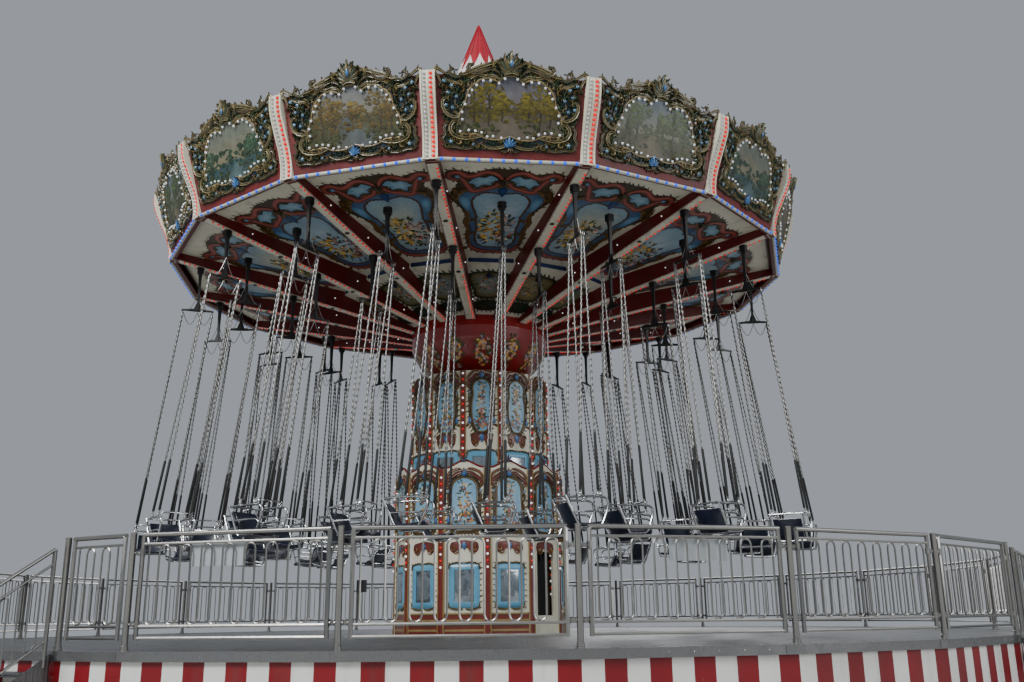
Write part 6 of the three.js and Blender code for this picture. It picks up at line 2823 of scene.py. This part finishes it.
@dataclass
class Fence:
    """Stainless fence: round posts with clamps, railed panels with a bent serpentine bar, stairs."""

    radius: float = 7.825
    bearing: float = -6.84
    floor: float = DECK_TOP
    upright: float = 0.847
    pitch: float = 0.10588
    stair_bays: tuple[int, int] = (-2, 4)
    stair_sides: tuple[float, float] = (-0.98, 0.08)
    going: float = 0.28
    riser: float = 0.18

    def __post_init__(self) -> None:
        """Works out the bays' distance, the stairs' start and the bearings of whole bays and posts."""
        self.stair_start = Deck.radius * math.cos(HALF_BAY) + 0.0015
        self.apothem = self.radius * math.cos(HALF_BAY)
        self.reach = self.radius * math.sin(HALF_BAY)
        whole = [bay for bay in range(-1, 22) if bay != 4]
        self.whole = self.bearing + 15 * (np.array(whole) + 0.5)
        self.part = self.bearing + 15 * (np.array(self.stair_bays) + 0.5)
        posts = [corner for corner in range(-1, 23) if corner != -2]
        self.posts = self.bearing + 15 * np.array(posts)

    def bar(self, points: Sequence[Sequence[float]], radius: float, sides: int = 6) -> Surface:
        """Gives a tube through points of the bay's plane, (along, height)."""
        given = np.asarray(points, float)
        path = np.column_stack([np.full(len(given), self.apothem), given[:, 0], given[:, 1] + self.floor])
        return tube(path, radius, sides, across=OUTWARDS)

    def serpentine(self, start: float, count: int) -> Surface:
        """Bends one bar up and down: uprights a pitch apart, joined by half circles in turn.

        Args:
            start: Place of the first upright.
            count: Number of uprights.

        Returns:
            The bar.
        """
        r = self.pitch / 2
        low, high = 0.232 + r, 0.926 - r
        arc = np.linspace(0, np.pi, 6)
        points = [np.array([(start, 0.935)])]
        for i in range(count - 1):
            middle = start + (i + 0.5) * self.pitch
            if i % 2 == 0:
                points.append(np.stack([middle - r * np.cos(arc), low - r * np.sin(arc)], axis=-1))
            else:
                points.append(np.stack([middle - r * np.cos(arc), high + r * np.sin(arc)], axis=-1))
        end = start + (count - 1) * self.pitch
        points.append(np.array([(end, 0.22 if count % 2 else 0.935)]))
        return self.bar(np.vstack(points), 0.0095, 5)

    def panel(self, left: float, right: float, start: float, count: int) -> Surface:
        """Gives a framed panel between two places along the bay."""
        parts = [
            self.bar([(left, 0.1), (left, 1.0), (left + 0.02, 1.021)], 0.021),
            self.bar([(right, 0.1), (right, 1.0), (right - 0.02, 1.021)], 0.021),
            self.bar([(left - 0.012, 1.021), (right + 0.012, 1.021)], 0.0215, 8),
            self.bar([(left, 0.939), (right, 0.939)], 0.013),
            self.bar([(left, 0.218), (right, 0.218)], 0.0145),
            self.bar([(left, 0.118), (right, 0.118)], 0.0145),
            self.serpentine(start, count),
        ]
        return join(parts)

    def post(self) -> Surface:
        """Turns a post: foot plate, weld, tube and a domed cap."""
        profile = np.array(
            [
                (0.05, 0.001), (0.05, 0.01), (0.036, 0.014), (0.036, 0.05), (0.0295, 0.055), (0.0295, 1.03),
                (0.031, 1.032), (0.031, 1.04), (0.02, 1.0425)
            ]
        )
        return turned_shape(profile, 12).shifted(0, 0, self.floor)

    def clamps(self) -> Surface:
        """Gives the clamp plates from a post to the panels' side bars, low and high."""
        parts = []
        for level in (0.235, 0.86):
            for sign in (-1, 1):
                near = np.array([self.reach * sign, level])
                far = np.array([(self.reach - 0.105) * sign, level])
                parts.append(self.bar([near - (0.02 * sign, 0), far], 0.012))
                parts.append(self.bar([far + (0, -0.03), far + (0, 0.03)], 0.027, 8))
                parts.append(self.bar([far + (0.05 * sign, -0.018), far + (0.05 * sign, 0.018)], 0.02, 6))
        return join(parts)

    def stair_posts(self) -> Surface:
        """Gives the post beside a stair."""
        return self.post().shifted(self.apothem, 0.12, 0)

    def stair(self) -> Surface:
        """Gives a stair: plate stringers and nosed treads."""
        start = self.stair_start
        left, right = self.stair_sides
        parts = []
        for step in range(4):
            top = self.floor - self.riser * (step + 1)
            x = start + self.going * step
            parts.append(block((x, left, top - 0.034), (x + 0.278, right, top - 0.001), bevel=0.004))
            nose = np.array([(x + 0.27, left, top - 0.012), (x + 0.27, right, top - 0.012)])
            parts.append(tube(nose, 0.013, 8))
        line = np.array(
            [(start, 0.57), (start + 0.99, 0.0), (start + 1.16, 0.0), (start + 1.16, 0.15), (start, 0.88)]
        )
        for side in (left, right):
            plate = slab(line, 0.02).shifted(0, 0, -0.01)
            parts.append(plate.moved(STOOD_UP, (0, side, 0)))
        return join(parts)

    def stair_rails(self) -> Surface:
        """Gives the handrails: an upper and a lower tube on posts, with a bent bar between them."""
        start = self.stair_start
        parts = []
        for side in self.stair_sides:
            def level(x: float, up: float) -> tuple[float, float, float]:
                """Gives a point over the stair's slope."""
                return (x, side, self.floor - (x - start) * self.riser / self.going + up)

            near, far = start + 0.06, start + 1.12
            for up, radius in ((0.965, 0.018), (0.83, 0.012), (0.14, 0.012)):
                parts.append(tube(np.array([level(near, up), level(far, up)]), radius, 8, across=ALONG))
            for x in (near, far):
                parts.append(tube(np.array([level(x, -0.1), level(x, 0.965)]), 0.021, 8, across=OUTWARDS))
            xs = near + 0.106 * (np.arange(9) + 1)
            path = []
            for i, x in enumerate(xs):
                pair = [level(x, 0.78), level(x, 0.18)] if i % 2 == 0 else [level(x, 0.18), level(x, 0.78)]
                path.extend(pair)
                if i < len(xs) - 1:
                    up = 0.15 if i % 2 == 0 else 0.815
                    path.append(level(x + 0.053, up))
            parts.append(tube(np.array(path), 0.009, 5, across=ALONG))
        return join(parts)

    def build(self) -> None:
        """Builds and dresses the fence and stairs."""
        whole = self.panel(-self.reach + 0.105, self.reach - 0.105, -self.upright, 17)
        part = self.panel(0.12 + 0.1, self.reach - 0.105, 0.12 + 0.175, 6)
        fence = lay(
            "fence_panels", join([around(whole, self.whole), around(part, self.part)]), STAINLESS,
            Body.BASE, 50
        )
        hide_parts(*numbered("fence", 6))
        posts = around(self.post().shifted(self.radius, 0, 0), self.posts)
        lay("fence_posts", join([posts, around(self.stair_posts(), self.part)]), STAINLESS, Body.BASE, 40)
        lay("fence_clamps", around(self.clamps(), self.whole), STAINLESS, Body.BASE, 40)
        for bay, low, high, finish, name in (
            (-1, (-0.44, 0.73), (0.1, 0.945), BOARD_WHITE, "blank_board_1"),
            (1, (-0.16, 0.73), (0.4, 0.925), BOARD_WHITE, "blank_board_2"),
            (0, (-0.88, 0.484), (-0.798, 0.584), DARK_STEEL, "switch_box"),
        ):
            deep = 0.012 if finish is BOARD_WHITE else 0.045
            sheet = block(
                (self.apothem - 0.028 - deep, low[0], self.floor + low[1]),
                (self.apothem - 0.028, high[0], self.floor + high[1])
            )
            lay(name, around(sheet, [self.bearing + 15 * (bay + 0.5)]), finish, Body.BASE, 30)
        stairs = lay("stair_treads", around(self.stair(), self.part), TREAD, Body.BASE, 30)
        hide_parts("entry_stair", "exit_stair")
        lay("stair_rails", around(self.stair_rails(), self.part), STAINLESS, Body.BASE, 50)


@dataclass
class Studio:
    """Pale floor, soft lamps and the camera at the photograph's place."""

    lens: float = 34.9
    place: tuple[float, float, float] = (0.561, -16.468, 1.175)
    pitch: float = math.radians(15.47)
    roll: float = math.radians(-0.646)

    def camera(self) -> None:
        """Makes the camera: right and up are turned by the roll about the forward direction."""
        ahead = np.array([0, math.cos(self.pitch), math.sin(self.pitch)])
        right, up = np.array([1.0, 0, 0]), np.array([0, -math.sin(self.pitch), math.cos(self.pitch)])
        c, s = math.cos(self.roll), math.sin(self.roll)
        turned = np.column_stack([right * c + up * s, up * c - right * s, -ahead, self.place])
        data = bpy.data.cameras.new("camera")
        data.lens = self.lens
        data.sensor_width = 36.0
        data.clip_end = 500.0
        made = bpy.data.objects.new("camera", data)
        made.matrix_world = Matrix([*turned.tolist(), [0, 0, 0, 1]])
        bpy.context.scene.collection.objects.link(made)
        bpy.context.scene.camera = made

    def floor(self) -> None:
        """Makes the floor: a fine grid whose plain pale paint has a faint grain."""
        side = np.linspace(-60, 60, 9)
        u, v = np.meshgrid(side, side, indexing="ij")
        points = np.stack([v, u, np.full_like(u, -0.002)], axis=-1)
        surface = grid(points, np.ones((9, 9, 4)))
        finish = Finish("studio_floor", linear("b9b9b6"), roughness=0.85, fade=0.05, grime=0.02, dust=0.0)
        mesh = bpy.data.meshes.new("floor")
        mesh.from_pydata(surface.points.tolist(), [], surface.quads.tolist())
        mesh.materials.append(finish.material())
        made = bpy.data.objects.new("floor", mesh)
        bpy.context.scene.collection.objects.link(made)

    def lamp(self, name: str, place: Sequence[float], size: float, power: float) -> None:
        """Hangs a square soft lamp that looks at the ride."""
        data = bpy.data.lights.new(name, "AREA")
        data.shape = "SQUARE"
        data.size = size
        data.energy = power
        made = bpy.data.objects.new(name, data)
        ahead = unit(np.array([0, 0, 4.5]) - np.asarray(place, float))
        side = unit(np.cross(ahead, [0, 0, 1.0]))
        turn = np.column_stack([side, np.cross(side, ahead), -ahead, place])
        made.matrix_world = Matrix([*turn.tolist(), [0, 0, 0, 1]])
        bpy.context.scene.collection.objects.link(made)

    def sky(self) -> None:
        """Sets the even light all round."""
        world = bpy.data.worlds.new("studio_light")
        world.use_nodes = True
        world.node_tree.nodes["Background"].inputs[0].default_value = (0.78, 0.84, 0.92, 1)
        world.node_tree.nodes["Background"].inputs[1].default_value = 0.42
        bpy.context.scene.world = world

    def build(self) -> None:
        """Builds the studio."""
        self.camera()
        self.floor()
        self.sky()
        self.lamp("key_lamp", (-12, -20, 20), 9, 7600)
        self.lamp("fill_lamp", (20, -14, 12), 14, 2200)
        self.lamp("back_lamp", (4, 22, 18), 12, 3600)


def main() -> None:
    """Builds every sub-assembly in order and reports each."""
    logging.basicConfig(level=logging.INFO, format="%(message)s")
    parts = (
        Studio(), Deck(), Fence(), Housing(), upper_housing(), Tower(), RoundingBoards(), Soffit(),
        Sweeps(), ChairSet()
    )
    for part in parts:
        part.build()
        LOG.info("built %s", type(part).__name__)
    made = [o for o in bpy.data.objects if o.type == "MESH" and "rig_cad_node" not in o]
    for piece in made:
        LOG.info("%s: %d faces", piece.name, len(piece.data.loop_triangles) or len(piece.data.polygons))


if __name__ == "__main__":
    main()
